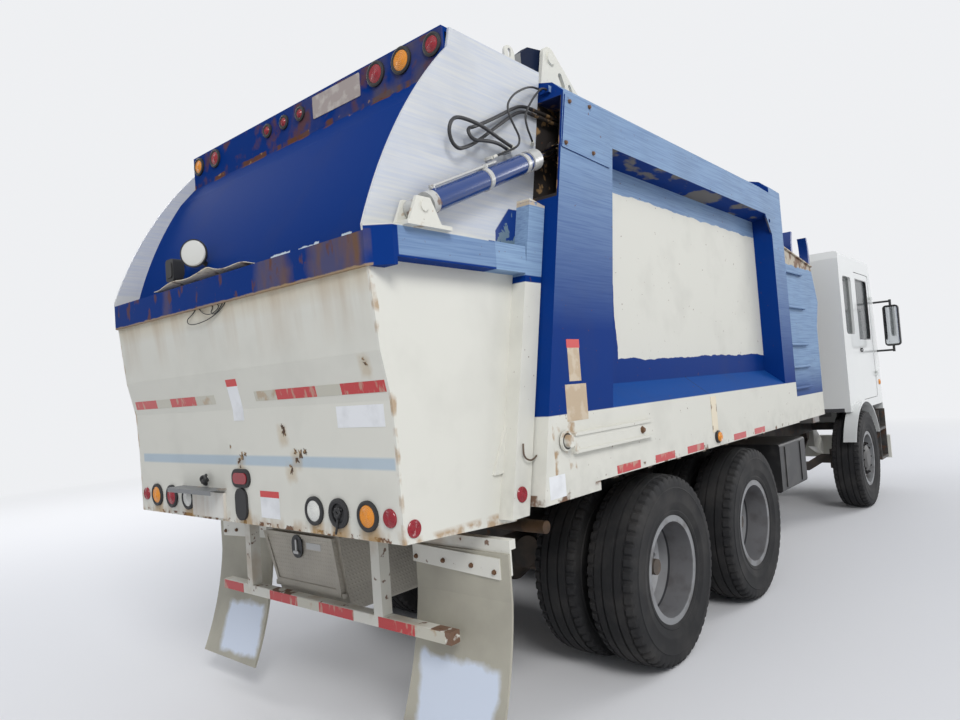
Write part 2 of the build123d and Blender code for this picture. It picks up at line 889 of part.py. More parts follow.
# Hoses of the right lift cylinder: their routes, from the body to the tailgate
hose_large_low = (
    (-3040.3, -1092, 2905),
    (-3092, -1092, 2905),
    (-3172, -1094, 2872),
    (-3272, -1098, 2806),
    (-3353, -1103, 2752),
    (-3431, -1108, 2698),
    (-3517, -1112, 2644),
    (-3575, -1116, 2617),
    (-3617, -1120, 2602),
    (-3659, -1125, 2617),
    (-3681, -1131, 2656),
    (-3672, -1136, 2700),
    (-3636, -1139, 2728),
    (-3560, -1141, 2731),
    (-3486, -1140, 2728),
    (-3413, -1137, 2714),
    (-3320, -1124, 2702),
    (-3238, -1110, 2698),
)
hose_large_high = (
    (-3040.3, -1092, 2930),
    (-3100, -1092, 2930),
    (-3182, -1094, 2894),
    (-3282, -1097, 2837),
    (-3387, -1100, 2780),
    (-3455, -1104, 2746),
    (-3503, -1110, 2724),
    (-3541, -1118, 2708),
    (-3550, -1124, 2687),
    (-3543, -1130, 2666),
    (-3524, -1135, 2655),
    (-3490, -1139, 2660),
    (-3440, -1141, 2669),
    (-3370, -1138, 2675),
    (-3325, -1130, 2674),
    (-3281, -1120, 2672),
)
hose_line_long = (
    (-2950.3, -1104, 3042),
    (-3000, -1104, 3042),
    (-3070, -1118, 3020),
    (-3145, -1136, 2984),
    (-3239, -1150, 2930),
    (-3298, -1155, 2873),
    (-3312, -1160, 2833),
    (-3302, -1164, 2799),
    (-3284, -1165, 2774),
    (-3262, -1164, 2750),
    (-3240, -1161, 2729),
    (-3236, -1158, 2707),
    (-3246, -1154, 2686),
    (-3275, -1147, 2668),
    (-3322, -1135, 2647),
    (-3366, -1122, 2624),
)
hose_line_short = (
    (-2950.3, -1136, 3034),
    (-2990, -1136, 3034),
    (-3030, -1136, 3000),
    (-3078, -1136, 2952),
    (-3124, -1136, 2895),
    (-3148, -1135, 2847),
    (-3127, -1130, 2800),
    (-3092, -1118, 2779),
    (-3050, -1098, 2768),
)
bend_share = 0.45
HOSES = (
    ("hose_large_low", hose_large_low, hose_diameter),
    ("hose_large_high", hose_large_high, hose_diameter),
    ("hose_line_long", hose_line_long, line_diameter),
    ("hose_line_short", hose_line_short, line_diameter),
)


def arc_radii(points):
    """Radius of each corner's arc: as large as the shorter of its two runs allows."""
    radii = []
    for before, here, after in zip(points, points[1:], points[2:]):
        into = here - before
        out = after - here
        radii.append(bend_share * min(into.length, out.length) / tan(radians(into.get_angle(out)) / 2))
    return radii


for name, route, diameter in HOSES:
    points = [Vector(*point) for point in route]
    radii = arc_radii(points)
    with BuildPart() as hose:
        with BuildLine() as run:
            FilletPolyline(*points, radius=radii)
        with BuildSketch(Plane(origin=points[0], z_dir=points[1] - points[0])) as section:
            Circle(diameter / 2)
        sweep(section.sketch, path=run.wires()[0])
    drawn = hose.part.volume / (run.wires()[0].length * pi * diameter**2 / 4)
    print(name, "length", round(run.wires()[0].length), "volume share", round(drawn, 3))
    print(name, "arc radii", [round(radius) for radius in radii])
    finish(hose, name)

# Rear frame of the body: leaning posts with a pocket for the lift rod, and hinge brackets
bracket_y = ((hinge_arm_y - 45, hinge_arm_y - 25), (hinge_arm_y + 25, hinge_arm_y + 45))
pocket = (body_inner_y + 25, half_width - 15)
pocket_front_x = lift_high[0] + 110
lug_rows = ((lift_y - 48, lift_y - 33), (lift_y + 33, lift_y + 48))
lug_half = 45
cover_low = 2722
cover_plate = 6
latch_low = 1285
latch_high = 1378
latch_x = (rear_edge_x + 164, post_front_x + 358)
latch_pin = (rear_edge_x + 103, (latch_low + latch_high) / 2 + 16)
clamp_z = (3022, 3054)


def hinge_plate(y):
    """Gusset plate on the roof with a round head about the tailgate's hinge pin."""
    low, high = sorted(y)
    foot_z = roof_corner_z
    with BuildSketch(Plane.XZ.offset(-high)) as outline:
        with BuildLine():
            Polyline(
                (hinge_x - 110, foot_z),
                (hinge_x - 62, hinge_z),
                (hinge_x + 48, hinge_z + 40),
                (hinge_x + 275, roof_top + 20),
                (hinge_x + 290, foot_z),
                close=True,
            )
        make_face()
        with Locations((hinge_x, hinge_z)):
            Circle(62)
        with Locations((hinge_x + 98, hinge_z - 90)):
            SlotOverall(90, 36, rotation=-62, mode=Mode.SUBTRACT)
        with Locations((hinge_x + 185, hinge_z - 122)):
            SlotOverall(80, 26, rotation=-62, mode=Mode.SUBTRACT)
    extrude(outline.sketch, amount=high - low)


with BuildPart() as body_rear_frame:
    cross_slab(
        [(-half_width, rear_foot_z)] + roof_outline + [(half_width, rear_foot_z)],
        (rear_edge(rear_foot_z), post_front(roof_top)),
    )
    block(
        (tail_x, front_frame_x),
        (-body_inner_y, body_inner_y),
        (floor_top, roof_top - 4 * sheet),
        mode=Mode.SUBTRACT,
    )
    side_slab(
        (
            (rear_edge(rear_foot_z), rear_foot_z),
            (post_foot_x, rear_foot_z),
            (post_foot_x, sill_top),
            (post_front(sill_top), sill_top),
            (post_front(roof_top), roof_top),
            (rear_edge(roof_top), roof_top),
        ),
        (-half_width, half_width),
        mode=Mode.INTERSECT,
    )
    for low, high in both(pocket):
        side_slab(
            (
                (rear_edge(2480) - 50, 2480),
                (pocket_front_x, 2580),
                (pocket_front_x, 2990),
                (rear_edge(2990) - 50, 2990),
            ),
            (low, high),
            mode=Mode.SUBTRACT,
        )
    for side in (-1, 1):
        for low, high in lug_rows:
            lug = (side * low, side * high)
            side_slab(
                (
                    (pocket_front_x + 1, lift_high[1] - 80),
                    (lift_high[0], lift_high[1] - lug_half),
                    (lift_high[0], lift_high[1] + lug_half),
                    (pocket_front_x + 1, lift_high[1] + 80),
                ),
                lug,
            )
            rod((lift_high[0], lug[0], lift_high[1]), (lift_high[0], lug[1], lift_high[1]), lug_half)
        for low, high in bracket_y:
            hinge_plate((side * low, side * high))
        rod(
            (hinge_x, side * (hinge_arm_y - 55), hinge_z),
            (hinge_x, side * (hinge_arm_y + 55), hinge_z),
            hinge_pin_radius,
        )
        side_slab(
            (
                (rear_edge(cover_low) + 4, cover_low),
                (post_front(cover_low) - 40, cover_low - 20),
                (post_front(rail_band_high) - 40, rail_band_high - 20),
                (rear_edge(rail_band_high) + 4, rail_band_high - 20),
            ),
            (side * half_width, side * (half_width + cover_plate)),
        )
        block(latch_x, (side * half_width, side * (half_width + 25)), (latch_low, latch_high))
        block(
            (latch_x[0] - 5, latch_x[1] + 5),
            (side * (half_width + 18), side * (half_width + 25)),
            (latch_low + 14, latch_high - 14),
            mode=Mode.SUBTRACT,
        )
        for near, far, radius in ((-1, 42, 28), (8, 20, 45)):
            rod(
                (latch_pin[0], side * (half_width + near), latch_pin[1]),
                (latch_pin[0], side * (half_width + far), latch_pin[1]),
                radius,
            )
    block(
        (hose_line_long[0][0] + pad_gap, rear_edge(clamp_z[1]) + 10),
        (hose_line_short[0][1] - 12, hose_line_long[0][1] + 12),
        clamp_z,
    )
    for route in (hose_large_low, hose_large_high):
        x, y, z = route[0]
        rod((x + pad_gap, y, z), (pocket_front_x + 1, y, z), hose_diameter / 2 + 1)
finish(body_rear_frame, "body_rear_frame")

with BuildPart() as body_front_frame:
    cross_slab(
        (
            (-half_width, floor_bottom),
            (-half_width, front_frame_top),
            (-half_width + 70, front_frame_top + 65),
            (-roof_crown_y, front_frame_top + 110),
            (roof_crown_y, front_frame_top + 110),
            (half_width - 70, front_frame_top + 65),
            (half_width, front_frame_top),
            (half_width, floor_bottom),
        ),
        (front_frame_x, hopper_back_x),
    )
    block(
        (front_frame_x, hopper_back_x),
        (-body_inner_y, body_inner_y),
        (floor_top, roof_top - 4 * sheet),
        mode=Mode.SUBTRACT,
    )
finish(body_front_frame, "body_front_frame")

# Hopper: walls, with the right one stepped in behind the arm, flange, ribs and ladder
rung_heights = (1410, 1590, 1780, 2100, 2400)
rung_x = (hopper_back_x + 5, hopper_back_x + 480)
rung_radius = 12
side_end = (recess_x - 50, hopper_top - hopper_drop)
left_rib_x = (hopper_back_x + 300, hopper_back_x + 800, hopper_back_x + 1300)
with BuildPart() as hopper_sides:
    side_slab(
        (
            (hopper_back_x, floor_bottom),
            (recess_x, floor_bottom),
            (recess_x, side_end[1] - 560),
            (recess_x + 100, side_end[1] - 330),
            side_end,
            (hopper_back_x, hopper_top),
        ),
        (-hopper_wall_y, hopper_plate - hopper_wall_y),
    )
    side_slab(
        (
            (hopper_back_x, hopper_top),
            side_end,
            (side_end[0], side_end[1] - 10),
            (hopper_back_x, hopper_top - 10),
        ),
        (-hopper_wall_y - 15, 60 - hopper_wall_y),
    )
    block(
        (recess_x - hopper_plate, recess_x),
        (hopper_plate - hopper_wall_y, -trough_y - trough_plate),
        (floor_bottom, side_end[1] - 25),
    )
    block(
        (hopper_back_x, hopper_front_x - hopper_plate),
        (hopper_wall_y - hopper_plate, hopper_wall_y),
        (floor_bottom, hopper_head_z - 50),
    )
    for x in left_rib_x:
        block((x, x + 60), (hopper_wall_y, half_width), (floor_bottom, hopper_head_z - 50))
    for z in rung_heights:
        rod((rung_x[0], rung_radius - half_width, z), (rung_x[1], rung_radius - half_width, z), rung_radius)
        for x in (hopper_back_x + 20, rung_x[1] - 20):
            foot = (rung_radius - half_width, -hopper_wall_y)
            block((x, x + 20), foot, (z - rung_radius, z + rung_radius))
finish(hopper_sides, "hopper_sides")

trough_side = 1700
funnel_top = 2100
with BuildPart() as hopper_floor:
    cross_slab(
        (
            (-trough_y - trough_plate, trough_floor),
            (trough_y + trough_plate, trough_floor),
            (trough_y + trough_plate, trough_side),
            (hopper_wall_y - hopper_plate, funnel_top),
            (hopper_wall_y - hopper_plate, funnel_top + 20),
            (trough_y, trough_side + 10),
            (trough_y, trough_floor + sheet),
            (-trough_y, trough_floor + sheet),
            (-trough_y, recess_top),
            (-trough_y - trough_plate, recess_top),
        ),
        (hopper_back_x, hopper_front_x - hopper_plate),
    )
    cross_slab(
        (
            (-trough_y - trough_plate, recess_top),
            (-trough_y, recess_top),
            (hopper_plate - hopper_wall_y, recess_top + 320),
            (hopper_plate - hopper_wall_y, recess_top + 290),
        ),
        (hopper_back_x, recess_x - hopper_plate),
    )
    for low, high in both((rail_outer_y - rail_flange, rail_outer_y)):
        block((hopper_back_x, under_front_x), (low, high), (floor_bottom, trough_floor))
        block((hopper_front_x - 100, hopper_front_x), (low, high), (rail_top, trough_floor))
    block(
        (hopper_front_x - hopper_plate, hopper_front_x),
        (-trough_y - trough_plate, hopper_wall_y),
        (trough_floor - 60, hopper_head_z),
    )
finish(hopper_floor, "hopper_floor")

packer_x = hopper_front_x - 300
packer_depth = 200
packer_top = 1900
with BuildPart() as packer_blade:
    side_slab(
        (
            (packer_x, trough_floor + sheet + pad_gap),
            (packer_x + packer_depth, trough_floor + sheet + pad_gap),
            (packer_x + packer_depth, packer_top),
            (packer_x + 80, packer_top + 100),
            (packer_x, packer_top),
        ),
        (packer_gap - trough_y, trough_y - packer_gap),
    )
    for y in (-400, 0, 400):
        side_slab(
            (
                (packer_x + packer_depth, trough_floor + 100),
                (packer_x + packer_depth + 60, trough_floor + 100),
                (packer_x + packer_depth, packer_top - 100),
            ),
            (y - 10, y + 10),
        )
finish(packer_blade, "packer_blade")


# Tailgate
def gate_front(z):
    """X of the tailgate's leaning front face at a height."""
    return rear_edge(z) - running_gap


# Lower back of the tailgate: (offset from the tail, height) down to its foot
lower_back = ((14, band_low), (44, 1776), (85, 1592), (95, 1383), (100, gate_bottom))
inner_half = gate_half - gate_plate
strip_x = tail_x + 510
strip_foot_z = 2960
plate_arc = ((tail_x + 526, 3059), (tail_x + 235, 2700), (tail_x, band_high + 24))
skin_arc = ((tail_x + 412, 2846), (tail_x + 250, 2560), (tail_x + 128, band_high + 28))


def gate_line(roof_end, arc):
    """Closed side outline of the tailgate: its roof's end, its curved back and lower back."""
    with BuildLine() as outline:
        Polyline((gate_front(gate_top), gate_top), *roof_end, arc[0])
        ThreePointArc(*arc)
        Polyline(
            arc[2],
            *((tail_x + offset, z) for offset, z in lower_back),
            (gate_front(gate_bottom), gate_bottom - 40),
            (gate_front(gate_top), gate_top),
        )
    return outline.wire()


with BuildPart() as tailgate_sides:
    for low, high in both((inner_half, gate_half)):
        with BuildSketch(Plane.XZ.offset(-high)) as side_plate:
            make_face(gate_line([(tail_x + 550, gate_top)], plate_arc))
        extrude(side_plate.sketch, amount=gate_plate)
        block((tail_x, tail_x + band_depth), (low, high), (band_low, band_high), mode=Mode.SUBTRACT)
finish(tailgate_sides, "tailgate_sides")

with BuildPart() as tailgate_skin:
    with BuildSketch(Plane.XZ.offset(-inner_half)) as back_line:
        make_face(gate_line([(strip_x, gate_top), (strip_x, strip_foot_z)], skin_arc))
        offset(amount=-gate_skin, mode=Mode.SUBTRACT)
    extrude(back_line.sketch, amount=2 * inner_half)
    block(
        (tail_x, tail_x + band_depth),
        (-inner_half, inner_half),
        (band_low, band_high),
        mode=Mode.SUBTRACT,
    )
    side_slab(
        (
            (gate_front(gate_bottom + 40) - 40, gate_bottom + 40),
            (gate_front(gate_bottom + 40) + 40, gate_bottom + 40),
            (gate_front(gate_top - 40) + 40, gate_top - 40),
            (gate_front(gate_top - 40) - 40, gate_top - 40),
        ),
        (-inner_half, inner_half),
        mode=Mode.SUBTRACT,
    )
finish(tailgate_skin, "tailgate_skin")

ear_rows = ((lift_y - 45, lift_y - 31), (lift_y + 31, lift_y + 45))
post_foot_z = 1050
side_tube_z = (band_low + 30, band_high + 20)
post_outer_y = gate_half + post_width


def post_back(z):
    """X of the rear edge of the tailgate's front post."""
    return gate_front(z) - post_depth


with BuildPart() as tailgate_frame:
    block((tail_x, tail_x + band_depth), (-gate_half, gate_half), (band_low, band_high))
    for side in (-1, 1):
        outer = (side * gate_half, side * post_outer_y)
        side_slab(
            (
                (post_back(post_foot_z), post_foot_z),
                (gate_front(post_foot_z), post_foot_z),
                (gate_front(post_top - 20), post_top - 20),
                (post_back(post_top), post_top),
            ),
            outer,
        )
        side_slab(
            (
                (post_back(1240) - 60, 1240),
                (post_back(1240) + 5, 1240),
                (post_back(1440) + 5, 1440),
                (post_back(1440), 1440),
            ),
            (side * gate_half, side * (gate_half + 12)),
        )
        block((tail_x + 90, post_back(side_tube_z[0]) + 10), outer, side_tube_z)
        with BuildSketch(Plane.XY.offset(band_low)) as band_end:
            with BuildLine():
                Polyline(
                    (tail_x, side * gate_half),
                    (tail_x + 74, side * post_outer_y),
                    (tail_x + 92, side * post_outer_y),
                    (tail_x + 92, side * gate_half),
                    close=True,
                )
            make_face()
        extrude(band_end.sketch, amount=side_tube_z[1] - band_low)
        block(
            (lift_low[0] - 90, lift_low[0] + 150),
            (side * gate_half, side * ear_rows[1][1]),
            (side_tube_z[1], side_tube_z[1] + 16),
        )
        for near, far in ear_rows:
            side_slab(
                (
                    (lift_low[0] - 80, side_tube_z[1] + 16),
                    (lift_low[0] + 90, side_tube_z[1] + 16),
                    (lift_low[0] + 36, lift_low[1] + 36),
                    (lift_low[0] - 36, lift_low[1] + 36),
                ),
                (side * near, side * far),
            )
        rod(
            (lift_low[0], side * (ear_rows[0][0] - 6), lift_low[1]),
            (lift_low[0], side * (ear_rows[1][1] + 6), lift_low[1]),
            lift_pin_radius,
        )
        arm = (side * (hinge_arm_y - hinge_arm_half), side * (hinge_arm_y + hinge_arm_half))
        side_slab(
            (
                (hinge_x - 225, gate_top),
                (hinge_x - 225, gate_top + 100),
                (hinge_x - 160, hinge_z + 20),
                (hinge_x, hinge_z + 50),
                (hinge_x, hinge_z - 50),
                (gate_front(gate_top) - 2, gate_top),
            ),
            arm,
        )
        rod((hinge_x, arm[0], hinge_z), (hinge_x, arm[1], hinge_z), 50)
        rod(
            (hinge_x, arm[0], hinge_z),
            (hinge_x, arm[1], hinge_z),
            hinge_pin_radius + pin_clearance,
            mode=Mode.SUBTRACT,
        )
        lifting_ear = (hinge_x - 350, gate_top + 30)
        window(lifting_ear, (80, 110), (side * (gate_half - 42), side * (gate_half - 30)), 38, mode=Mode.ADD)
        window(
            (lifting_ear[0], lifting_ear[1] + 20),
            (24, 44),
            (side * (gate_half - 43), side * (gate_half - 29)),
            11,
        )
        block(
            (lifting_ear[0] - 60, lifting_ear[0] + 60),
            (side * (gate_half - 43), side * (gate_half - 29)),
            (gate_top - 60, gate_top),
            mode=Mode.SUBTRACT,
        )
    for route, diameter in ((route, diameter) for name, route, diameter in HOSES):
        last = Vector(*route[-1])
        ahead = (last - Vector(*route[-2])).normalized()
        start = last + ahead * pad_gap
        nut = last + ahead * 24
        rod(tuple(start), tuple(nut), diameter / 2 + 3)
        block((nut.X - 9, nut.X + 5), (-gate_half, nut.Y), (nut.Z - 7, nut.Z + 7))
finish(tailgate_frame, "tailgate_frame")

# Lamps of the tailgate: (offset from the middle, radius) in the low row and in the top row
low_lamps = ((-1010, 40), (-887, 55), (-710, 55), (-548, 55), (530, 55), (706, 45), (876, 55), (1007, 40))
top_lamps = ((995, 48), (802, 48), (244, 30), (88, 30), (-57, 30), (-647, 48), (-818, 55), (-1010, 42))
low_lamp_z = gate_bottom + 95
top_lamp_z = gate_top - 66
lamp_back_x = tail_x + 97
with BuildPart() as tailgate_lamps:
    for y, radius in low_lamps:
        rod((lamp_back_x, y, low_lamp_z), (lamp_back_x - 13, y, low_lamp_z), radius)
    for y, radius in top_lamps:
        rod((strip_x, y, top_lamp_z), (strip_x - 12, y, top_lamp_z), radius)
finish(tailgate_lamps, "tailgate_lamps")

# Lift cylinders: barrel with its clevis, straps, gland and side pipe, and the rod
lift_length = hypot(lift_high[0] - lift_low[0], lift_high[1] - lift_low[1])
lift_dir = ((lift_high[0] - lift_low[0]) / lift_length, (lift_high[1] - lift_low[1]) / lift_length)
strap_places = (452, 756)
pipe_radius = 6
pipe_lift = barrel_radius + pipe_radius + 3


def on_lift(side, distance, out=0, lift=0):
    """Point by a lift cylinder's centre line: distance from its lower pin, out and above."""
    return (
        lift_low[0] + lift_dir[0] * distance - lift_dir[1] * lift,
        side * (lift_y + out),
        lift_low[1] + lift_dir[1] * distance + lift_dir[0] * lift,
    )


for name, side in SIDES:
    with BuildPart() as lift_barrel:
        rod(on_lift(side, 70), on_lift(side, barrel_end), barrel_radius)
        rod(on_lift(side, 60), on_lift(side, 100), barrel_radius + 3)
        rod(on_lift(side, barrel_end - 70), on_lift(side, barrel_end), barrel_radius + 5)
        for place in strap_places:
            rod(on_lift(side, place), on_lift(side, place + 26), barrel_radius + 4)
        rod(on_lift(side, 0), on_lift(side, 70), lift_rod_radius)
        rod(
            (lift_low[0], side * (lift_y - 29), lift_low[1]),
            (lift_low[0], side * (lift_y + 29), lift_low[1]),
            38,
        )
        rod(on_lift(side, 100, 14, pipe_lift), on_lift(side, 560, 14, pipe_lift), pipe_radius)
        for place in (115, 480):
            rod(on_lift(side, place, 10, 20), on_lift(side, place, 14, pipe_lift + 8), 12)
        rod(
            on_lift(side, 130),
            on_lift(side, barrel_end + 1),
            lift_rod_radius + pin_clearance,
            mode=Mode.SUBTRACT,
        )
        rod(
            (lift_low[0], side * (lift_y - 30), lift_low[1]),
            (lift_low[0], side * (lift_y + 30), lift_low[1]),
            lift_pin_radius + pin_clearance,
            mode=Mode.SUBTRACT,
        )
    finish(lift_barrel, f"lift_barrel_{name}")
    with BuildPart() as lift_rod:
        rod(on_lift(side, 150), on_lift(side, lift_length - 30), lift_rod_radius)
        rod(
            (lift_high[0], side * (lift_y - 26), lift_high[1]),
            (lift_high[0], side * (lift_y + 26), lift_high[1]),
            38,
        )
        rod(
            (lift_high[0], side * (lift_y - 31), lift_high[1]),
            (lift_high[0], side * (lift_y + 31), lift_high[1]),
            lift_pin_radius,
        )
    finish(lift_rod, f"lift_rod_{name}")

# Cab
cab_inner = cab_half - cab_wall
floor_high = cab_floor_z + cab_floor_plate
well_y = (600, cab_inner)
tunnel_front_x = cab_front_x - 370
tilt_ear_y = (rail_outer_y - 55, rail_outer_y - 35)


def arch(y, outer, inner, low, mode=Mode.ADD):
    """Ring about the front wheel, or a disc where inner is 0, above a height low."""
    near, far = sorted(y)
    with BuildSketch(Plane.XZ.offset(-far)) as section:
        with Locations((steer_axle_x, tyre_radius)):
            Circle(outer)
            if inner:
                Circle(inner, mode=Mode.SUBTRACT)
        with Locations((steer_axle_x, low + outer)):
            Rectangle(2 * outer, 2 * outer, mode=Mode.INTERSECT)
    extrude(section.sketch, amount=far - near, mode=mode)


with BuildPart() as cab_floor:
    block((cab_back_x, cab_front_x - cab_wall), (-cab_inner, cab_inner), (cab_floor_z, floor_high))
    cross_slab(
        (
            (-tunnel_half - tunnel_wall, floor_high),
            (-tunnel_half - tunnel_wall, tunnel_top + tunnel_wall),
            (tunnel_half + tunnel_wall, tunnel_top + tunnel_wall),
            (tunnel_half + tunnel_wall, floor_high),
        ),
        (cab_back_x + cab_wall, tunnel_front_x),
    )
    block(
        (cab_back_x, tunnel_front_x - tunnel_wall),
        (-tunnel_half, tunnel_half),
        (cab_floor_z, tunnel_top),
        mode=Mode.SUBTRACT,
    )
    for low, high in both(well_y):
        arch((low, high), arch_radius + arch_plate, 0, cab_floor_z)
        arch((low, high), arch_radius, 0, cab_floor_z - 1, mode=Mode.SUBTRACT)
    for low, high in both(tilt_ear_y):
        block((tilt_x - tilt_ear, tilt_x + tilt_ear), (low, high), (tilt_z, cab_floor_z))
        rod((tilt_x, low, tilt_z), (tilt_x, high, tilt_z), tilt_ear)
        rod(
            (tilt_x, low, tilt_z),
            (tilt_x, high, tilt_z),
            tilt_pin_radius + pin_clearance,
            mode=Mode.SUBTRACT,
        )
finish(cab_floor, "cab_floor")


def screen_x(z):
    """X of the windscreen's outer face at a height."""
    return cab_front_x - screen_rake * (z - cab_sill_z) / (cab_roof_z - cab_sill_z)


hinge_rows = (door_low + 250, door_high - 320)
door_axis_y = cab_half + door_axis_proud
quarter_middle = ((cab_back_x + door_back_x) / 2, (window_low + window_high) / 2 + 25)
quarter_size = (door_back_x - cab_back_x - 280, window_high - window_low - 50)
flare_y = (cab_inner + pad_gap, half_width - 5)
flare_low = 760
with BuildPart() as cab_sides:
    for side in (-1, 1):
        wall = (side * cab_inner, side * cab_half)
        through = (side * (cab_inner - 5), side * (cab_half + 5))
        side_slab(
            (
                (cab_back_x, cab_floor_z),
                (cab_front_x - cab_wall, cab_floor_z),
                (cab_front_x - cab_wall, cab_sill_z),
                (screen_x(cab_sill_z), cab_sill_z),
                (screen_x(cab_roof_z), cab_roof_z),
                (cab_back_x, cab_roof_z),
            ),
            wall,
        )
        window(
            ((door_back_x + door_front_x) / 2, (door_low + door_high) / 2),
            (door_width, door_high - door_low),
            through,
            40,
        )
        window(quarter_middle, quarter_size, through, 50)
        arch(through, arch_radius, 0, cab_floor_z - 1, mode=Mode.SUBTRACT)
        flare = (side * flare_y[0], side * flare_y[1])
        arch(flare, arch_radius + arch_plate, arch_radius, flare_low)
        for z in hinge_rows:
            block(
                (door_front_x + 2, door_front_x + 50),
                (side * cab_half, side * (door_axis_y + 12)),
                (z + 31, z + 60),
            )
            rod((door_front_x, side * door_axis_y, z + 31), (door_front_x, side * door_axis_y, z + 60), 14)
            rod((door_front_x, side * door_axis_y, z), (door_front_x, side * door_axis_y, z + 60), 8)
finish(cab_sides, "cab_sides")

rear_window_half = 500
rear_window_low = window_low + 50
rear_window_high = window_high - 40
with BuildPart() as cab_back:
    block((cab_back_x, cab_back_x + cab_wall), (-cab_inner, cab_inner), (floor_high, cab_roof_z))
    block(
        (cab_back_x, cab_back_x + cab_wall),
        (-tunnel_half, tunnel_half),
        (floor_high, tunnel_top),
        mode=Mode.SUBTRACT,
    )
    cross_slab(
        (
            (-rear_window_half, rear_window_low),
            (rear_window_half, rear_window_low),
            (rear_window_half, rear_window_high),
            (-rear_window_half, rear_window_high),
        ),
        (cab_back_x, cab_back_x + cab_wall),
        corner=50,
        mode=Mode.SUBTRACT,
    )
finish(cab_back, "cab_back")

with BuildPart() as cab_roof:
    side_slab(
        (
            (cab_back_x, cab_roof_z),
            (screen_x(cab_roof_z) + 20, cab_roof_z),
            (screen_x(cab_roof_z) - 60, cab_roof_z + cab_roof_plate),
            (cab_back_x + 20, cab_roof_z + cab_roof_plate),
        ),
        (-cab_half, cab_half),
    )
    fillet(cab_roof.edges().filter_by(Axis.X).group_by(Axis.Z)[-1], 40)
finish(cab_roof, "cab_roof")

panel_low = 800
grille_half = 550
grille_z = (900, 1380)
slat_count = 8
headlamp_z = (840, 1000)
headlamp_y = (720, 1060)
with BuildPart() as cab_front:
    side_slab(
        (
            (cab_front_x - 40, panel_low),
            (cab_front_x, panel_low),
            (cab_front_x, cab_sill_z),
            (cab_front_x - cab_wall, cab_sill_z),
            (cab_front_x - cab_wall, cab_floor_z),
            (cab_front_x - 40, cab_floor_z),
        ),
        (-cab_half, cab_half),
    )
    fillet(cab_front.edges().filter_by(Axis.Z).group_by(Axis.X)[-1], 34)
    block((cab_front_x - 26, cab_front_x), (-grille_half, grille_half), grille_z, mode=Mode.SUBTRACT)
    slat_step = (grille_z[1] - grille_z[0]) / slat_count
    for number in range(slat_count):
        z = grille_z[0] + number * slat_step
        side_slab(
            (
                (cab_front_x - 27, z + 14),
                (cab_front_x - 6, z + 6),
                (cab_front_x - 3, z + 18),
                (cab_front_x - 27, z + 34),
            ),
            (-grille_half, grille_half),
        )
    for low, high in both(headlamp_y):
        cross_slab(
            ((low, headlamp_z[0]), (high, headlamp_z[0]), (high, headlamp_z[1]), (low, headlamp_z[1])),
            (cab_front_x - 28, cab_front_x),
            corner=30,
            mode=Mode.SUBTRACT,
        )
        for y in (low + 88, high - 88):
            z = (headlamp_z[0] + headlamp_z[1]) / 2
            rod((cab_front_x - 29, y, z), (cab_front_x - 6, y, z), 66)
    side_slab(
        (
            (screen_x(header_z) - cab_wall, header_z),
            (screen_x(header_z), header_z),
            (screen_x(cab_roof_z), cab_roof_z),
            (screen_x(cab_roof_z) - cab_wall, cab_roof_z),
        ),
        (-cab_inner, cab_inner),
    )
finish(cab_front, "cab_front")

glass = 8
with BuildPart() as cab_glass:
    side_slab(
        (
            (screen_x(cab_sill_z) - 20, cab_sill_z),
            (screen_x(cab_sill_z) - 20 + glass, cab_sill_z),
            (screen_x(header_z) - 20 + glass, header_z),
            (screen_x(header_z) - 20, header_z),
        ),
        (-cab_inner, cab_inner),
    )
    cross_slab(
        (
            (-rear_window_half, rear_window_low),
            (rear_window_half, rear_window_low),
            (rear_window_half, rear_window_high),
            (-rear_window_half, rear_window_high),
        ),
        (cab_back_x + 26, cab_back_x + 26 + glass),
        corner=50,
    )
    for low, high in both((cab_half - 26 - glass, cab_half - 26)):
        window(quarter_middle, quarter_size, (low, high), 50, mode=Mode.ADD)
finish(cab_glass, "cab_glass")

# Cab interior: dashboard, two seats over the wheel wells, and the steering wheel
dash_back_x = cab_front_x - 340
seat_x = (cab_back_x + 220, cab_back_x + 720)
seat_y = (500, 1000)
seat_low = tyre_radius + arch_radius + arch_plate + pad_gap
seat_high = 1560
wheel_centre = (dash_back_x - 120, 740, 1850)
with BuildPart() as cab_interior:
    side_slab(
        (
            (dash_back_x, 1420),
            (cab_front_x - cab_wall, 1420),
            (cab_front_x - cab_wall, cab_sill_z),
            (cab_front_x - 76, 1700),
            (dash_back_x + 80, 1760),
            (dash_back_x, 1700),
        ),
        (20 - cab_inner, cab_inner - 20),
    )
    for side in (-1, 1):
        block(seat_x, (side * seat_y[0], side * seat_y[1]), (seat_low, seat_high))
        block(seat_x, (side * seat_y[0], side * (well_y[0] - 5)), (floor_high, seat_low))
        side_slab(
            (
                (seat_x[0] - 80, seat_high),
                (seat_x[0] + 80, seat_high),
                (seat_x[0] - 20, 2280),
                (seat_x[0] - 120, 2280),
            ),
            (side * (seat_y[0] + 20), side * (seat_y[1] - 20)),
        )
    rod((dash_back_x + 40, wheel_centre[1], 1720), wheel_centre, 28)
    with BuildSketch(Plane(origin=wheel_centre, z_dir=(-0.62, 0, 0.78))) as steering_wheel:
        Circle(230)
        Circle(205, mode=Mode.SUBTRACT)
        Rectangle(420, 30)
    extrude(steering_wheel.sketch, amount=24)
finish(cab_interior, "cab_interior")

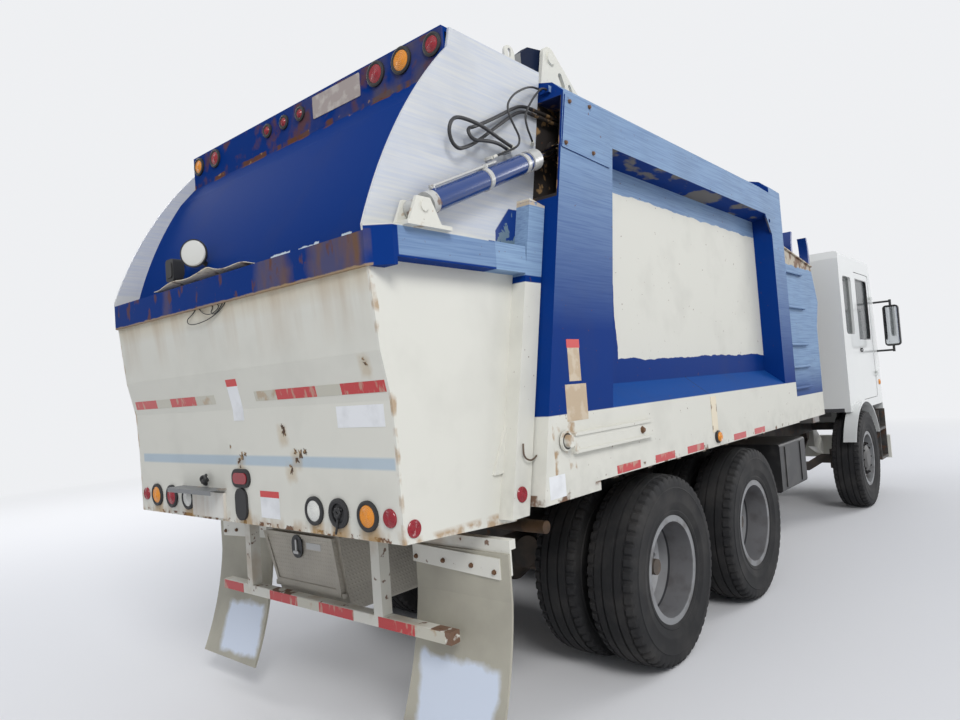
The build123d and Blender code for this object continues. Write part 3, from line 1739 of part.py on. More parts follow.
mirror_x = cab_front_x - 75
mirror_y = (cab_half + 100, cab_half + 270)
mirror_z = (1750, 2250)
with BuildPart() as mirrors:
    for low, high in both(mirror_y):
        cross_slab(
            ((low, mirror_z[0]), (high, mirror_z[0]), (high, mirror_z[1]), (low, mirror_z[1])),
            (mirror_x - 25, mirror_x + 25),
            corner=40,
        )
    for side in (-1, 1):
        stalk_y = side * (mirror_y[0] + mirror_y[1]) / 2
        for z in (mirror_z[0] - 50, mirror_z[1] + 50):
            rod((mirror_x, side * cab_half, z), (mirror_x, stalk_y, z), 12)
        rod((mirror_x, stalk_y, mirror_z[0] - 70), (mirror_x, stalk_y, mirror_z[1] + 70), 14)
finish(mirrors, "mirrors")

# Doors: panel, window with its glass, handle and hinge knuckles
door_middle = (door_back_x + door_front_x) / 2
door_window = ((door_middle, (window_low + window_high) / 2), (door_width - 180, window_high - window_low))
for name, side in SIDES:
    face = side * (cab_half - 5)
    with BuildPart() as door:
        window(
            (door_middle, (door_low + door_high) / 2),
            (door_width - 2 * door_gap, door_high - door_low - 2 * door_gap),
            (face, face - side * door_plate),
            35,
            mode=Mode.ADD,
        )
        window(*door_window, (face + side, face - side * (door_plate + 1)), 60)
        window(*door_window, (face - side * 18, face - side * (18 + glass)), 60, mode=Mode.ADD)
        handle = (door_back_x + 120, window_low - 130)
        window(handle, (150, 44), (face + side, face - side * 12), 20)
        window(handle, (130, 22), (face + side * 8, face - side * 13), 10, mode=Mode.ADD)
        for z in hinge_rows:
            block((door_front_x - 45, door_front_x - 10), (face, side * (cab_half + 20)), (z, z + 30))
            rod((door_front_x, side * door_axis_y, z), (door_front_x, side * door_axis_y, z + 30), 13.5)
            block(
                (door_front_x - 20, door_front_x),
                (side * (door_axis_y - 8), side * (door_axis_y + 8)),
                (z, z + 30),
            )
            rod(
                (door_front_x, side * door_axis_y, z - 1),
                (door_front_x, side * door_axis_y, z + 31),
                8 + pin_clearance,
                mode=Mode.SUBTRACT,
            )
    finish(door, f"door_{name}")

# Lifting arm: boom housing across the frame, its slide, the arm and two curved fingers
boom_end_y = 170 - trough_y - 160
with BuildPart() as boom_housing:
    block((boom_x - boom_half, boom_x + boom_half), (boom_end_y, 900), (boom_low, boom_high))
    block(
        (boom_x - boom_half + boom_wall, boom_x + boom_half - boom_wall),
        (boom_end_y, 880),
        (boom_low + boom_wall, boom_high - boom_wall),
        mode=Mode.SUBTRACT,
    )
finish(boom_housing, "boom_housing")

slide_half = boom_half - boom_wall - slide_gap
with BuildPart() as boom_slide:
    block(
        (boom_x - slide_half, boom_x + slide_half),
        (arm_y - 50, 300),
        (boom_low + boom_wall + pad_gap, boom_high - boom_wall - slide_gap),
    )
    for side in (-1, 1):
        cheek = (boom_x + side * slide_half, boom_x + side * (slide_half - 20))
        cross_slab(
            (
                (arm_y - 50, boom_low + boom_wall + pad_gap),
                (arm_y + 70, boom_low + boom_wall + pad_gap),
                (arm_y + 50, arm_pivot_z + 60),
                (arm_y - 50, arm_pivot_z + 60),
            ),
            cheek,
        )
    rod(
        (boom_x - slide_half, arm_y, arm_pivot_z),
        (boom_x + slide_half, arm_y, arm_pivot_z),
        hinge_pin_radius,
    )
finish(boom_slide, "boom_slide")

head_half = 215
head_top = finger_pin_z - 50
lug_plate = 20
with BuildPart() as lift_arm:
    cross_slab(
        (
            (arm_y - arm_half, arm_pivot_z - 70),
            (arm_y + arm_half, arm_pivot_z - 70),
            (arm_y + arm_half - 20, arm_top),
            (arm_y - arm_half + 20, arm_top),
        ),
        (boom_x - arm_half, boom_x + arm_half),
    )
    cross_slab(
        (
            (arm_y - arm_half, arm_top),
            (arm_y + arm_half, arm_top),
            (arm_y + arm_half, head_top),
            (arm_y - arm_half, head_top),
        ),
        (boom_x - head_half, boom_x + head_half),
        corner=12,
    )
    for side in (-1, 1):
        x = boom_x + side * finger_pin_x
        for low, high in (
            (arm_y - arm_half, arm_y - arm_half + lug_plate),
            (arm_y + arm_half - lug_plate, arm_y + arm_half),
        ):
            block((x - 45, x + 45), (low, high), (head_top - 10, finger_pin_z))
            rod((x, low, finger_pin_z), (x, high, finger_pin_z), 45)
        rod((x, arm_y - arm_half, finger_pin_z), (x, arm_y + arm_half, finger_pin_z), finger_pin_radius)
    rod(
        (boom_x - arm_half, arm_y, arm_pivot_z),
        (boom_x + arm_half, arm_y, arm_pivot_z),
        hinge_pin_radius + pin_clearance,
        mode=Mode.SUBTRACT,
    )
finish(lift_arm, "lift_arm")

finger_reach = 500
finger_half = 42
for name, side in (("rear", -1), ("front", 1)):
    x = boom_x + side * finger_pin_x
    with BuildPart() as finger:
        with BuildSketch(Plane.XZ.offset(-arm_y - finger_half)) as claw:
            with BuildLine():
                ThreePointArc(
                    (x + side * 38, finger_pin_z - 5),
                    (x + side * 152, finger_pin_z + 240),
                    (x + side * 110, finger_pin_z + finger_reach),
                )
                Line(
                    (x + side * 110, finger_pin_z + finger_reach),
                    (x + side * 75, finger_pin_z + finger_reach - 5),
                )
                ThreePointArc(
                    (x + side * 75, finger_pin_z + finger_reach - 5),
                    (x + side * 104, finger_pin_z + 250),
                    (x - side * 30, finger_pin_z + 5),
                )
                Line((x - side * 30, finger_pin_z + 5), (x + side * 38, finger_pin_z - 5))
            make_face()
        extrude(claw.sketch, amount=2 * finger_half)
        rod((x, arm_y - finger_half, finger_pin_z), (x, arm_y + finger_half, finger_pin_z), finger_half)
        rod(
            (x, arm_y - finger_half, finger_pin_z),
            (x, arm_y + finger_half, finger_pin_z),
            finger_pin_radius + pin_clearance,
            mode=Mode.SUBTRACT,
        )
    finish(finger, f"finger_{name}")
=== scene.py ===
# %% [markdown]
# A garbage truck that loads from its side, dressed for the render.
# The truck's rigid pieces come in as a fixed frame of nodes, at their real size in metres.
# These cells light it, give each surface its finish, and add what is too thin or too soft
# for the rigid model: paint edges, lamps, tape, hoses, bolts, rust and dirt.

# %% Load the frame
from math import radians

import bpy
import numpy as np
from mathutils import Matrix, Vector


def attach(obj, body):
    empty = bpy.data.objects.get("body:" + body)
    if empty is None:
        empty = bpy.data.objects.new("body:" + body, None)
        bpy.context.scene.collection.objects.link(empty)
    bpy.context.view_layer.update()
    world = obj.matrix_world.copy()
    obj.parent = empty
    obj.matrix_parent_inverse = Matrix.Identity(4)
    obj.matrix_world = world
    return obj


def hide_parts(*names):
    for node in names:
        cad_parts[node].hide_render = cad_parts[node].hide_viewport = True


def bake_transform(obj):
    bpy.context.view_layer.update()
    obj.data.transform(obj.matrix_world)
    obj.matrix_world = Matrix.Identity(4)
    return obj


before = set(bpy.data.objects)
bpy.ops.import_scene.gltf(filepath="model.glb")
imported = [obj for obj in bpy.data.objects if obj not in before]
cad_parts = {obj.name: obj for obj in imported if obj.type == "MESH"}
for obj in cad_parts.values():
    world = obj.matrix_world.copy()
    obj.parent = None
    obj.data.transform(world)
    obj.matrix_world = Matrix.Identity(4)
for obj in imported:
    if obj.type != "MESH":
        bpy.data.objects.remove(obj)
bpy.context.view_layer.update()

# %% [markdown]
# The camera stands where the photograph was taken: behind the truck and to its right, at
# eye height. The view was solved from the tyre, the tailgate's edges and the lamp rows, so
# its place and its three angles are written as they came out.

# %% Camera
CAMERA_AT = (-5.7426, -2.9663, 1.6196)
CAMERA_YAW, CAMERA_PITCH, CAMERA_ROLL = radians(40.436), radians(2.159), radians(-4.123)
PHOTO_SIZE = (960, 720)
FOCAL_PIXELS = 690.9
SENSOR_WIDTH = 36.0


def camera_axes(yaw, pitch, roll):
    """Right, up and forward: forward from yaw and pitch, the other two turned by roll."""
    forward = np.array([np.cos(pitch) * np.cos(yaw), np.cos(pitch) * np.sin(yaw), np.sin(pitch)])
    level = np.array([np.sin(yaw), -np.cos(yaw), 0.0])
    above = np.cross(level, forward)
    right = np.cos(roll) * level + np.sin(roll) * above
    return right, np.cos(roll) * above - np.sin(roll) * level, forward


right, up, forward = camera_axes(CAMERA_YAW, CAMERA_PITCH, CAMERA_ROLL)
camera_data = bpy.data.cameras.new("photo_view")
camera_data.sensor_width = SENSOR_WIDTH
camera_data.lens = SENSOR_WIDTH * FOCAL_PIXELS / PHOTO_SIZE[0]
camera = bpy.data.objects.new("photo_view", camera_data)
bpy.context.collection.objects.link(camera)
turn = Matrix((right, up, -forward)).transposed().to_4x4()
camera.matrix_world = Matrix.Translation(CAMERA_AT) @ turn
bpy.context.scene.camera = camera
print("camera lens", round(camera_data.lens, 2))

# %% [markdown]
# The truck stands on a pale floor in a pale world, and the lamps are large and soft. The
# sun of the photograph comes from the right and from behind the camera, so the strongest
# lamp stands there, and two weaker ones fill the front and the far side.

# %% Floor, world and lamps
FLOOR_HALF = 60.0
FLOOR_GREY = (0.74, 0.74, 0.75)
BACKDROP = (0.86, 0.87, 0.89)
SKY_TINT, SKY_STRENGTH = (0.88, 0.92, 1.0), 0.55
FADE_FROM, FADE_TO = 7.0, 15.0


def add_node(tree, kind, inputs, **settings):
    """New shader node; an input takes a socket to link or a plain value, by name or number."""
    node = tree.nodes.new(f"ShaderNode{kind}")
    for name, value in settings.items():
        setattr(node, name, value)
    for name, value in inputs.items():
        if isinstance(value, bpy.types.NodeSocket):
            tree.links.new(value, node.inputs[name])
        else:
            node.inputs[name].default_value = value
    return node


def bright_when_seen(tree, plain, kind):
    """Mix a plain shader with the backdrop's light, met only by camera, gloss and glass rays."""
    path = add_node(tree, "LightPath", {}).outputs
    seen = path["Is Camera Ray"]
    for ray in ("Is Glossy Ray", "Is Transmission Ray"):
        seen = add_node(tree, "Math", {0: seen, 1: path[ray]}, operation="MAXIMUM").outputs[0]
    bright = add_node(tree, kind, {"Color": (*BACKDROP, 1)})
    return add_node(tree, "MixShader", {0: seen, 1: plain, 2: bright.outputs[0]}).outputs[0]


scene = bpy.context.scene
scene.view_settings.view_transform = "Standard"
scene.world = bpy.data.worlds.new("studio")
scene.world.use_nodes = True
tree = scene.world.node_tree
tree.nodes.clear()
ambient = add_node(tree, "Background", {"Color": (*SKY_TINT, 1), "Strength": SKY_STRENGTH})
sky = bright_when_seen(tree, ambient.outputs[0], "Background")
add_node(tree, "OutputWorld", {"Surface": sky})

floor_mesh = bpy.data.meshes.new("floor")
corners = [(FLOOR_HALF * x, FLOOR_HALF * y, 0.0) for x, y in ((-1, -1), (1, -1), (1, 1), (-1, 1))]
floor_mesh.from_pydata(corners, [], [(0, 1, 2, 3)])
floor = bpy.data.objects.new("floor", floor_mesh)
bpy.context.collection.objects.link(floor)
floor_paint = bpy.data.materials.new("floor_paint")
floor_paint.use_nodes = True
tree = floor_paint.node_tree
near = tree.nodes["Principled BSDF"]
near.inputs["Base Color"].default_value = (*FLOOR_GREY, 1)
near.inputs["Roughness"].default_value = 0.9
far = bright_when_seen(tree, near.outputs[0], "Emission")
place = add_node(tree, "TexCoord", {})
reach = add_node(tree, "VectorMath", {0: place.outputs["Object"]}, operation="LENGTH")
span = {"Value": reach.outputs["Value"], "From Min": FADE_FROM, "From Max": FADE_TO}
fade = add_node(tree, "MapRange", span).outputs["Result"]
ground = add_node(tree, "MixShader", {0: fade, 1: near.outputs[0], 2: far})
tree.links.new(ground.outputs[0], tree.nodes["Material Output"].inputs["Surface"])
floor_mesh.materials.append(floor_paint)

# Each lamp: name, place, aimed at, side of its square, watts
LAMPS = (
    ("key", (-9.0, -9.0, 9.5), (-2.5, 0.0, 1.6), 4.5, 1000.0),
    ("fill_front", (12.0, -8.0, 7.0), (2.0, 0.0, 1.6), 6.0, 700.0),
    ("fill_left", (-2.0, 12.0, 8.0), (0.0, 0.0, 1.6), 7.0, 700.0),
)
for name, place, target, size, watts in LAMPS:
    lamp_data = bpy.data.lights.new(name, "AREA")
    lamp_data.size = size
    lamp_data.energy = watts
    lamp = bpy.data.objects.new(name, lamp_data)
    bpy.context.collection.objects.link(lamp)
    aim = (Vector(target) - Vector(place)).to_track_quat("-Z", "Y")
    lamp.matrix_world = Matrix.Translation(place) @ aim.to_matrix().to_4x4()
print("lamps", len(LAMPS))

# %% [markdown]
# Every new piece is a mesh worked out with numpy. Four shapes are enough for nearly all of
# them, and each returns its points and its faces. The first two are round: a profile turned
# about an axis, for lamps and nuts, and a circle carried along a path, for hoses and wires.
# Both are a grid whose columns go round, so one function gives the faces of either.

# %% Round shapes
BACKWARDS, FORWARDS, OUTWARDS, UPWARDS = (-1, 0, 0), (1, 0, 0), (0, 1, 0), (0, 0, 1)
SIDES = (("right", -1), ("left", 1))


def grid_faces(rows, columns, wrap=False, loop=False):
    """Quads between neighbours of a grid; wrap joins the last column to the first, loop the rows."""
    i = np.arange(rows if loop else rows - 1)[:, None]
    j = np.arange(columns if wrap else columns - 1)[None, :]
    ahead, below = (j + 1) % columns, (i + 1) % rows
    quads = (i * columns + j, i * columns + ahead, below * columns + ahead, below * columns + j)
    return np.stack(np.broadcast_arrays(*quads), -1).reshape(-1, 4).tolist()


def square_to(axis):
    """Two unit directions square to an axis, so that first x second points along it."""
    axis = np.asarray(axis, float) / np.linalg.norm(axis)
    helper = np.eye(3)[np.argmin(np.abs(axis))]
    first = np.cross(helper, axis)
    first /= np.linalg.norm(first)
    return first, np.cross(axis, first), axis


def turned(profile, centre, axis, steps=28, closed=True):
    """Point = centre + axis * along + radius * (cos t, sin t); ends closed, or else joined."""
    first, second, axis = square_to(axis)
    along, radius = np.asarray(profile, float).T
    t = np.linspace(0, 2 * np.pi, steps, endpoint=False)
    ring = np.cos(t)[:, None] * first + np.sin(t)[:, None] * second
    points = np.asarray(centre) + along[:, None, None] * axis + radius[:, None, None] * ring
    if not closed:
        return points.reshape(-1, 3), grid_faces(len(along), steps, wrap=True, loop=True)
    last = (len(along) - 1) * steps
    caps = [list(range(steps))[::-1], list(range(last, last + steps))]
    return points.reshape(-1, 3), grid_faces(len(along), steps, wrap=True) + caps


def tube(path, radius, sides=10):
    """Circle of a radius carried along a path, square to its run at each point, ends closed."""
    path = np.asarray(path, float)
    run = np.gradient(path, axis=0)
    run /= np.linalg.norm(run, axis=1)[:, None]
    helper = np.eye(3)[np.argmin(np.abs(run).max(0))]
    first = np.cross(helper, run)
    first /= np.linalg.norm(first, axis=1)[:, None]
    second = np.cross(run, first)
    t = np.linspace(0, 2 * np.pi, sides, endpoint=False)
    points = path[:, None] + radius * (
        np.cos(t)[None, :, None] * first[:, None] + np.sin(t)[None, :, None] * second[:, None]
    )
    last = (len(path) - 1) * sides
    caps = [list(range(sides))[::-1], list(range(last, last + sides))]
    return points.reshape(-1, 3), grid_faces(len(path), sides, wrap=True) + caps


print("round shapes ready")

# %% [markdown]
# The other two are flat: an outline pushed to a thickness, for labels and brackets, and a
# sheet given as a grid of points, which may bend. Most fittings come in pairs, so the mirror
# image is made here too; its faces are turned round, or they would point inwards.

# %% Flat shapes
def slab(outline, origin, across, above, depth):
    """Outline point (a, b) goes to origin + a * across + b * above, and a second one depth ahead."""
    outline = np.asarray(outline, float)
    across, above = np.asarray(across, float), np.asarray(above, float)
    ahead = np.cross(across, above)
    back = np.asarray(origin) + outline[:, :1] * across + outline[:, 1:] * above
    count = len(outline)
    ring = np.arange(count)
    walls = np.stack([ring, np.roll(ring, -1), np.roll(ring, -1) + count, ring + count], -1)
    faces = walls.tolist() + [ring[::-1].tolist(), (ring + count).tolist()]
    return np.vstack([back, back + depth * ahead]), faces


def back_slab(outline, place, depth):
    """Slab whose outline is seen from behind the truck, growing backwards from its place."""
    return slab(outline, place, (0, -1, 0), UPWARDS, depth)


def brick(low, high):
    """Box between two corners."""
    low, high = np.minimum(low, high), np.maximum(low, high)
    size = high - low
    outline = [(0, 0), (size[0], 0), (size[0], size[1]), (0, size[1])]
    return slab(outline, low, (1, 0, 0), (0, 1, 0), size[2])


def rounded(width, height, radius, steps=6):
    """Rectangle's outline with its corners as quarter circles, going round to the left."""
    t = np.linspace(0, np.pi / 2, steps)
    quarters = []
    for number, (a, b) in enumerate(((1, 1), (-1, 1), (-1, -1), (1, -1))):
        corner = np.array([a * (width / 2 - radius), b * (height / 2 - radius)])
        turn = t + number * np.pi / 2
        quarters.append(corner + radius * np.stack([np.cos(turn), np.sin(turn)], -1))
    return np.vstack(quarters)


def sheet_of(points, thickness, way):
    """Grid of points and the same grid moved along a direction, closed round its four edges."""
    rows, columns = points.shape[:2]
    under = points + thickness * np.asarray(way, float)
    front = grid_faces(rows, columns)
    count = rows * columns
    back = [[v + count for v in face[::-1]] for face in front]
    index = np.arange(count).reshape(rows, columns)
    rim = np.concatenate([index[0, :-1], index[:-1, -1], index[-1, :0:-1], index[:0:-1, 0]])
    after = np.roll(rim, -1)
    walls = np.stack([after, rim, rim + count, after + count], -1).tolist()
    return np.vstack([points.reshape(-1, 3), under.reshape(-1, 3)]), front + back + walls


def both_sides(*shapes):
    """Each shape and its mirror image across the truck's middle, with its faces turned again."""
    pairs = ((shape, (shape[0] * (1, -1, 1), [face[::-1] for face in shape[1]])) for shape in shapes)
    return [half for pair in pairs for half in pair]


print("flat shapes ready")

# %% [markdown]
# A piece is one object made of any number of shapes. It rides on one body, so that it moves
# with it at every pose.

# %% Pieces
def piece(name, body, finish, slot, *shapes, crease=40):
    """One object from several shapes, riding on a body; edges sharper than crease stay sharp."""
    counts = np.cumsum([0] + [len(points) for points, _ in shapes])
    points = np.vstack([points for points, _ in shapes])
    faces = [[v + start for v in face] for (_, own), start in zip(shapes, counts) for face in own]
    mesh = bpy.data.meshes.new(name)
    mesh.from_pydata(points.tolist(), [], faces)
    mesh.polygons.foreach_set("use_smooth", np.ones(len(faces), bool))
    mesh.set_sharp_from_angle(angle=radians(crease))
    mesh.materials.append(finish.material)
    obj = bpy.data.objects.new(name, mesh)
    bpy.context.collection.objects.link(obj)
    if body:
        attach(obj, body)
    print(name, len(faces), "faces")
    return obj


print("pieces ready")

# %% [markdown]
# Paint is laid on in coats. Each coat is a colour and a mask, and a mask is a stretch of X,
# Y and Z in metres whose edge can be made ragged with noise, so the white panel's torn edge
# and a rust streak are both one line to write. The masks read each node's own coordinates,
# so the colours move with their piece.

# %% Paint
class Paint:
    """One material, its base colour, and the coats laid over it."""

    def __init__(self, name, colour, roughness, metallic=0.0, coat=0.0, specular=0.5):
        self.material = bpy.data.materials.new(name)
        self.material.use_nodes = True
        self.tree = self.material.node_tree
        self.shader = self.tree.nodes["Principled BSDF"]
        self.colour = (*colour, 1)
        base = {"Base Color": self.colour, "Roughness": roughness, "Metallic": metallic,
                "Coat Weight": coat, "Specular IOR Level": specular}
        for socket, value in base.items():
            self.shader.inputs[socket].default_value = value
        coordinates = add_node(self.tree, "TexCoord", {}).outputs
        self.where = coordinates["Object"]
        self.axis = self.split(coordinates["Object"])
        self.facing = self.split(coordinates["Normal"])

    def split(self, vector):
        """The three parts of a vector under the names x, y and z."""
        return dict(zip("xyz", add_node(self.tree, "SeparateXYZ", {0: vector}).outputs))

    def math(self, kind, *values, clamp=False):
        """Result of one sum on sockets or plain numbers."""
        numbered = dict(enumerate(values))
        return add_node(self.tree, "Math", numbered, operation=kind, use_clamp=clamp).outputs[0]

    def slope(self, x, z, offset=0.0):
        """x times X plus z times Z plus an offset, for a measure along a slanting line."""
        upright = self.math("MULTIPLY_ADD", self.axis["z"], z, offset)
        return self.math("MULTIPLY_ADD", self.axis["x"], x, upright)

    def noise(self, grain, stretch=(1, 1, 1), detail=4.0):
        """Noise from 0 to 1 with so many grains a metre, stretched where the factor is small."""
        scaled = add_node(self.tree, "Mapping", {"Vector": self.where, "Scale": stretch})
        grains = {"Vector": scaled.outputs["Vector"], "Scale": grain, "Detail": detail}
        return add_node(self.tree, "TexNoise", grains).outputs["Fac"]

    def ramp(self, value, low, high):
        """0 below low, 1 above high, and straight between; low may be the larger one."""
        return self.math("MULTIPLY_ADD", value, 1 / (high - low), -low / (high - low), clamp=True)

    def region(self, ragged=0.0, grain=9.0, soft=0.004, **spans):
        """1 inside the given spans of x, y and z, with an edge moved about by noise."""
        mask = None
        for name, (low, high) in spans.items():
            value = self.axis[name]
            if ragged:
                shift = self.math("MULTIPLY_ADD", self.noise(grain), 2 * ragged, -ragged)
                value = self.math("ADD", value, shift)
            for edge, way in ((low, soft), (high, -soft)):
                if edge is None:
                    continue
                side = self.ramp(value, edge - way / 2, edge + way / 2)
                mask = side if mask is None else self.math("MULTIPLY", mask, side)
        return mask

    def spots(self, grain, low, high, stretch=(1, 1, 1), inside=None):
        """Noise made into spots between two levels, only where the mask inside is set."""
        mask = self.ramp(self.noise(grain, stretch), low, high)
        return mask if inside is None else self.math("MULTIPLY", mask, inside)

    def lay(self, colour, mask, amount=1.0):
        """Cover what lies below with a colour, where the mask is, by an amount."""
        share = self.math("MULTIPLY", mask, amount)
        # Of the mix node's sockets, 0 is the share and 6, 7 and output 2 are the colours
        mixed = {0: share, 6: self.colour, 7: (*colour, 1)}
        self.colour = add_node(self.tree, "Mix", mixed, data_type="RGBA").outputs[2]
        self.tree.links.new(self.colour, self.shader.inputs["Base Color"])

    def cover(self, colour, amount=1.0, **spans):
        """Lay a colour on a region."""
        self.lay(colour, self.region(**spans), amount)

    def speckle(self, colour, grain, low, high, amount=1.0, stretch=(1, 1, 1), inside=None):
        """Lay a colour in spots of noise."""
        self.lay(colour, self.spots(grain, low, high, stretch, inside), amount)

    def dent(self, height, depth):
        """Bumps from a height, depth metres deep."""
        bump = add_node(self.tree, "Bump", {"Distance": depth, "Height": height})
        self.tree.links.new(bump.outputs["Normal"], self.shader.inputs["Normal"])


def put_on(paint, *names):
    """Give nodes of the rigid model a finish."""
    for name in names:
        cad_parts[name].data.materials[0] = paint.material


print("paint ready")

# %% [markdown]
# The truck has few colours: a creamy white, a deep blue, and what age made of them. They are
# named here once, since the same rust or grime turns up on many pieces. Two finishes are
# shared as well: the dirt on every painted sheet, and a pale veil on the blue that is partly
# chalking and partly painted sun glare.

# %% Colours and wear
WHITE = (0.66, 0.65, 0.585)
BLUE = (0.001, 0.029, 0.180)
CHALK_AND_GLARE = (0.25, 0.37, 0.53)
RUST = (0.13, 0.050, 0.018)
TAN_RUST = (0.36, 0.22, 0.10)
GRIME = (0.060, 0.052, 0.042)
PRIMER = (0.16, 0.15, 0.14)
DULL_UNDERCOAT = (0.13, 0.19, 0.24)
TAPE_RED = (0.48, 0.020, 0.022)
CAB_WHITE = (0.72, 0.73, 0.71)
RECESS_SHADE = (0.02, 0.02, 0.021)
RUBBER = (0.015, 0.015, 0.016)


def weathered(paint):
    """Thin grime in blotches, denser towards the ground, and a few specks of rust."""
    near_ground = paint.ramp(paint.axis["z"], 1.30, 1.05)
    paint.speckle(GRIME, 3.0, 0.50, 0.80, 0.13)
    paint.speckle(GRIME, 11.0, 0.40, 0.75, 0.28, inside=near_ground)
    paint.speckle(RUST, 38.0, 0.715, 0.74, 0.7)


def chalk_and_glare(paint, mask, amount=0.85, sheltered=True):
    """Pale veil on blue paint, partly chalking and partly painted sun glare, streaked along the truck."""
    if sheltered:
        sideways = paint.math("ABSOLUTE", paint.facing["y"])
        in_the_sun = paint.ramp(paint.math("MAXIMUM", sideways, paint.facing["z"]), 0.3, 0.5)
        mask = paint.math("MULTIPLY", mask, in_the_sun)
    streaks = paint.ramp(paint.noise(70.0, (0.05, 0.5, 2.0), detail=3.0), 0.25, 0.60)
    veil = paint.math("MULTIPLY_ADD", streaks, 0.35, 0.65)
    paint.lay(CHALK_AND_GLARE, paint.math("MULTIPLY", mask, veil), amount)


def disc_of(paint, x, z):
    """Adds an axis q that measures how far a point lies from an axle line across the truck."""
    squares = [paint.math("POWER", paint.math("SUBTRACT", paint.axis[way], at), 2.0)
               for way, at in (("x", x), ("z", z))]
    paint.axis["q"] = paint.math("SQRT", paint.math("ADD", *squares))


print("colours and wear ready")

# %% [markdown]
# The body is blue over a white skirt. Its recessed side panel was painted over in white with
# a roller, so that patch has a torn upper and lower edge. The top rail is a pale, streaky blue,
# partly chalked by the sun and partly painted sun glare, and under it patches of dark primer
# show. The sloped sill is a lighter blue, which is painted sunlight.

# %% Paint of the sides
PANEL_X = (-2.34, 0.30)
PANEL_Z = (1.715, 2.665)
SKIRT_TOP, SILL_TOP = 1.465, 1.582
SILL_JOINT = (-1.492, -1.486)

flank = Paint("side_paint", BLUE, 0.6, specular=0.07)
# Pale veil on the top rail: partly chalking, partly painted sun glare
chalk_and_glare(flank, flank.region(z=(2.56, None), soft=0.10))
under_rail = flank.math("MULTIPLY", flank.region(x=(None, 0.10), z=(2.60, 3.10)),
                        flank.ramp(flank.facing["z"], -0.5, -0.7))
flank.speckle(PRIMER, 5.0, 0.50, 0.54, stretch=(0.5, 1, 1), inside=under_rail)
flank.cover(WHITE, ragged=0.030, grain=5.0, x=PANEL_X, z=PANEL_Z)
# Painted sunlight: the upward sloping sill is laid a lighter blue than the sides
flank.cover((0.005, 0.060, 0.26), z=(SKIRT_TOP, SILL_TOP))
flank.cover(WHITE, z=(None, SKIRT_TOP))
flank.cover((0.02, 0.02, 0.02), x=SILL_JOINT, z=(SKIRT_TOP, SILL_TOP + 0.008), soft=0.002)
flank.speckle(RUST, 9.0, 0.60, 0.66, 0.9, inside=flank.region(z=(1.12, 1.16)))
weathered(flank)
put_on(flank, "body_sides")
print("sides painted")

# %% [markdown]
# The posts, the roof and the hopper have the same blue over the same white. One material for
# all would be shorter, but each has marks of its own: the rear post is paler in its upper half,
# from chalking and painted sun glare, its pocket is near black as painted shade with rust in it,
# there is rust round the pin, and the hopper is worn along its upper edge.

# %% Paint of the posts, roof and hopper
PIN_AT = (-3.156, 1.3475)

post = Paint("post_paint", BLUE, 0.6, specular=0.07)
# Paler upper half: partly chalking, partly painted sun glare
chalk_and_glare(post, post.ramp(post.axis["z"], 1.85, 2.75))
post.cover(WHITE, z=(None, SKIRT_TOP))
post.cover(WHITE, z=(3.125, None))
# Painted shade: the post's pocket is laid near black, and real rust is speckled in it
pocket_shade_and_rust = post.region(x=(-3.05, -2.6), y=(-1.21, -1.06), z=(2.48, 2.99))
post.lay((0.035, 0.030, 0.028), pocket_shade_and_rust)
post.speckle(TAN_RUST, 16.0, 0.56, 0.62, 0.8, inside=pocket_shade_and_rust)
pin_stain = post.region(x=(-3.24, -3.06), z=(1.20, 1.43), ragged=0.02)
post.speckle(TAN_RUST, 14.0, 0.50, 0.62, 0.8, inside=pin_stain)
post.speckle(RUST, 10.0, 0.55, 0.62, 0.9, inside=post.region(z=(None, 1.13)))
disc_of(post, *PIN_AT)
post.cover((0.03, 0.026, 0.024), 0.9, q=(0.0285, 0.037), z=(1.29, 1.40), soft=0.001)
weathered(post)
put_on(post, "body_rear_frame")

rib = Paint("rib_paint", BLUE, 0.6, specular=0.07)
# Paler higher up: partly chalking, partly painted sun glare
chalk_and_glare(rib, rib.ramp(rib.axis["z"], 1.50, 2.60))
rib.cover(WHITE, z=(None, SKIRT_TOP))
weathered(rib)
put_on(rib, "body_front_frame", "body_roof")

hopper = Paint("hopper_paint", BLUE, 0.6, specular=0.07)
# Paler higher up: partly chalking, partly painted sun glare
chalk_and_glare(hopper, hopper.ramp(hopper.axis["z"], 1.30, 1.60), 0.9)
worn_edge = hopper.region(ragged=0.03, y=(None, -0.9), z=(2.47, None))
hopper.lay((0.50, 0.43, 0.32), worn_edge, 0.9)
hopper.speckle(RUST, 9.0, 0.55, 0.62, 0.8, inside=worn_edge)
hopper.speckle(RUST, 9.0, 0.55, 0.60, 0.8,
               inside=hopper.region(y=(0.9, None), z=(2.86, None)))
hopper.cover(WHITE, z=(None, 1.34))
weathered(hopper)
put_on(hopper, "hopper_sides")

steel = Paint("worn_steel", (0.20, 0.16, 0.13), 0.55, metallic=0.7)
steel.speckle(TAN_RUST, 5.0, 0.45, 0.75, 0.6)
put_on(steel, "body_floor", "hopper_floor", "packer_blade")
print("body painted")

# %% [markdown]
# The tailgate's back is white up to its cross beam and blue above it. The beam collects
# water, so its lower edge bleeds rust onto the white plate, and the strip with the upper
# lamps is rusting where its sheet was lapped over the curved one. Each stain is a region
# with a ragged edge, and the runs are noise drawn out downwards.

# %% Paint of the tailgate's back
BAND_TOP = 2.21
CHIP_Z = (2.243, 2.266)
STRIP_LOW = 2.96
# Rust stains: under the lamps as Y and half width, under the chips as Y and Z
UNDER_LAMPS = ((-0.887, 0.05), (-0.710, 0.05), (-0.548, 0.04), (0.004, 0.05), (0.876, 0.05),
               (0.530, 0.05))
UNDER_CHIPS = ((-0.36, 1.47), (-0.45, 1.37), (-0.40, 1.31), (0.0, 1.34), (-0.973, 1.73))

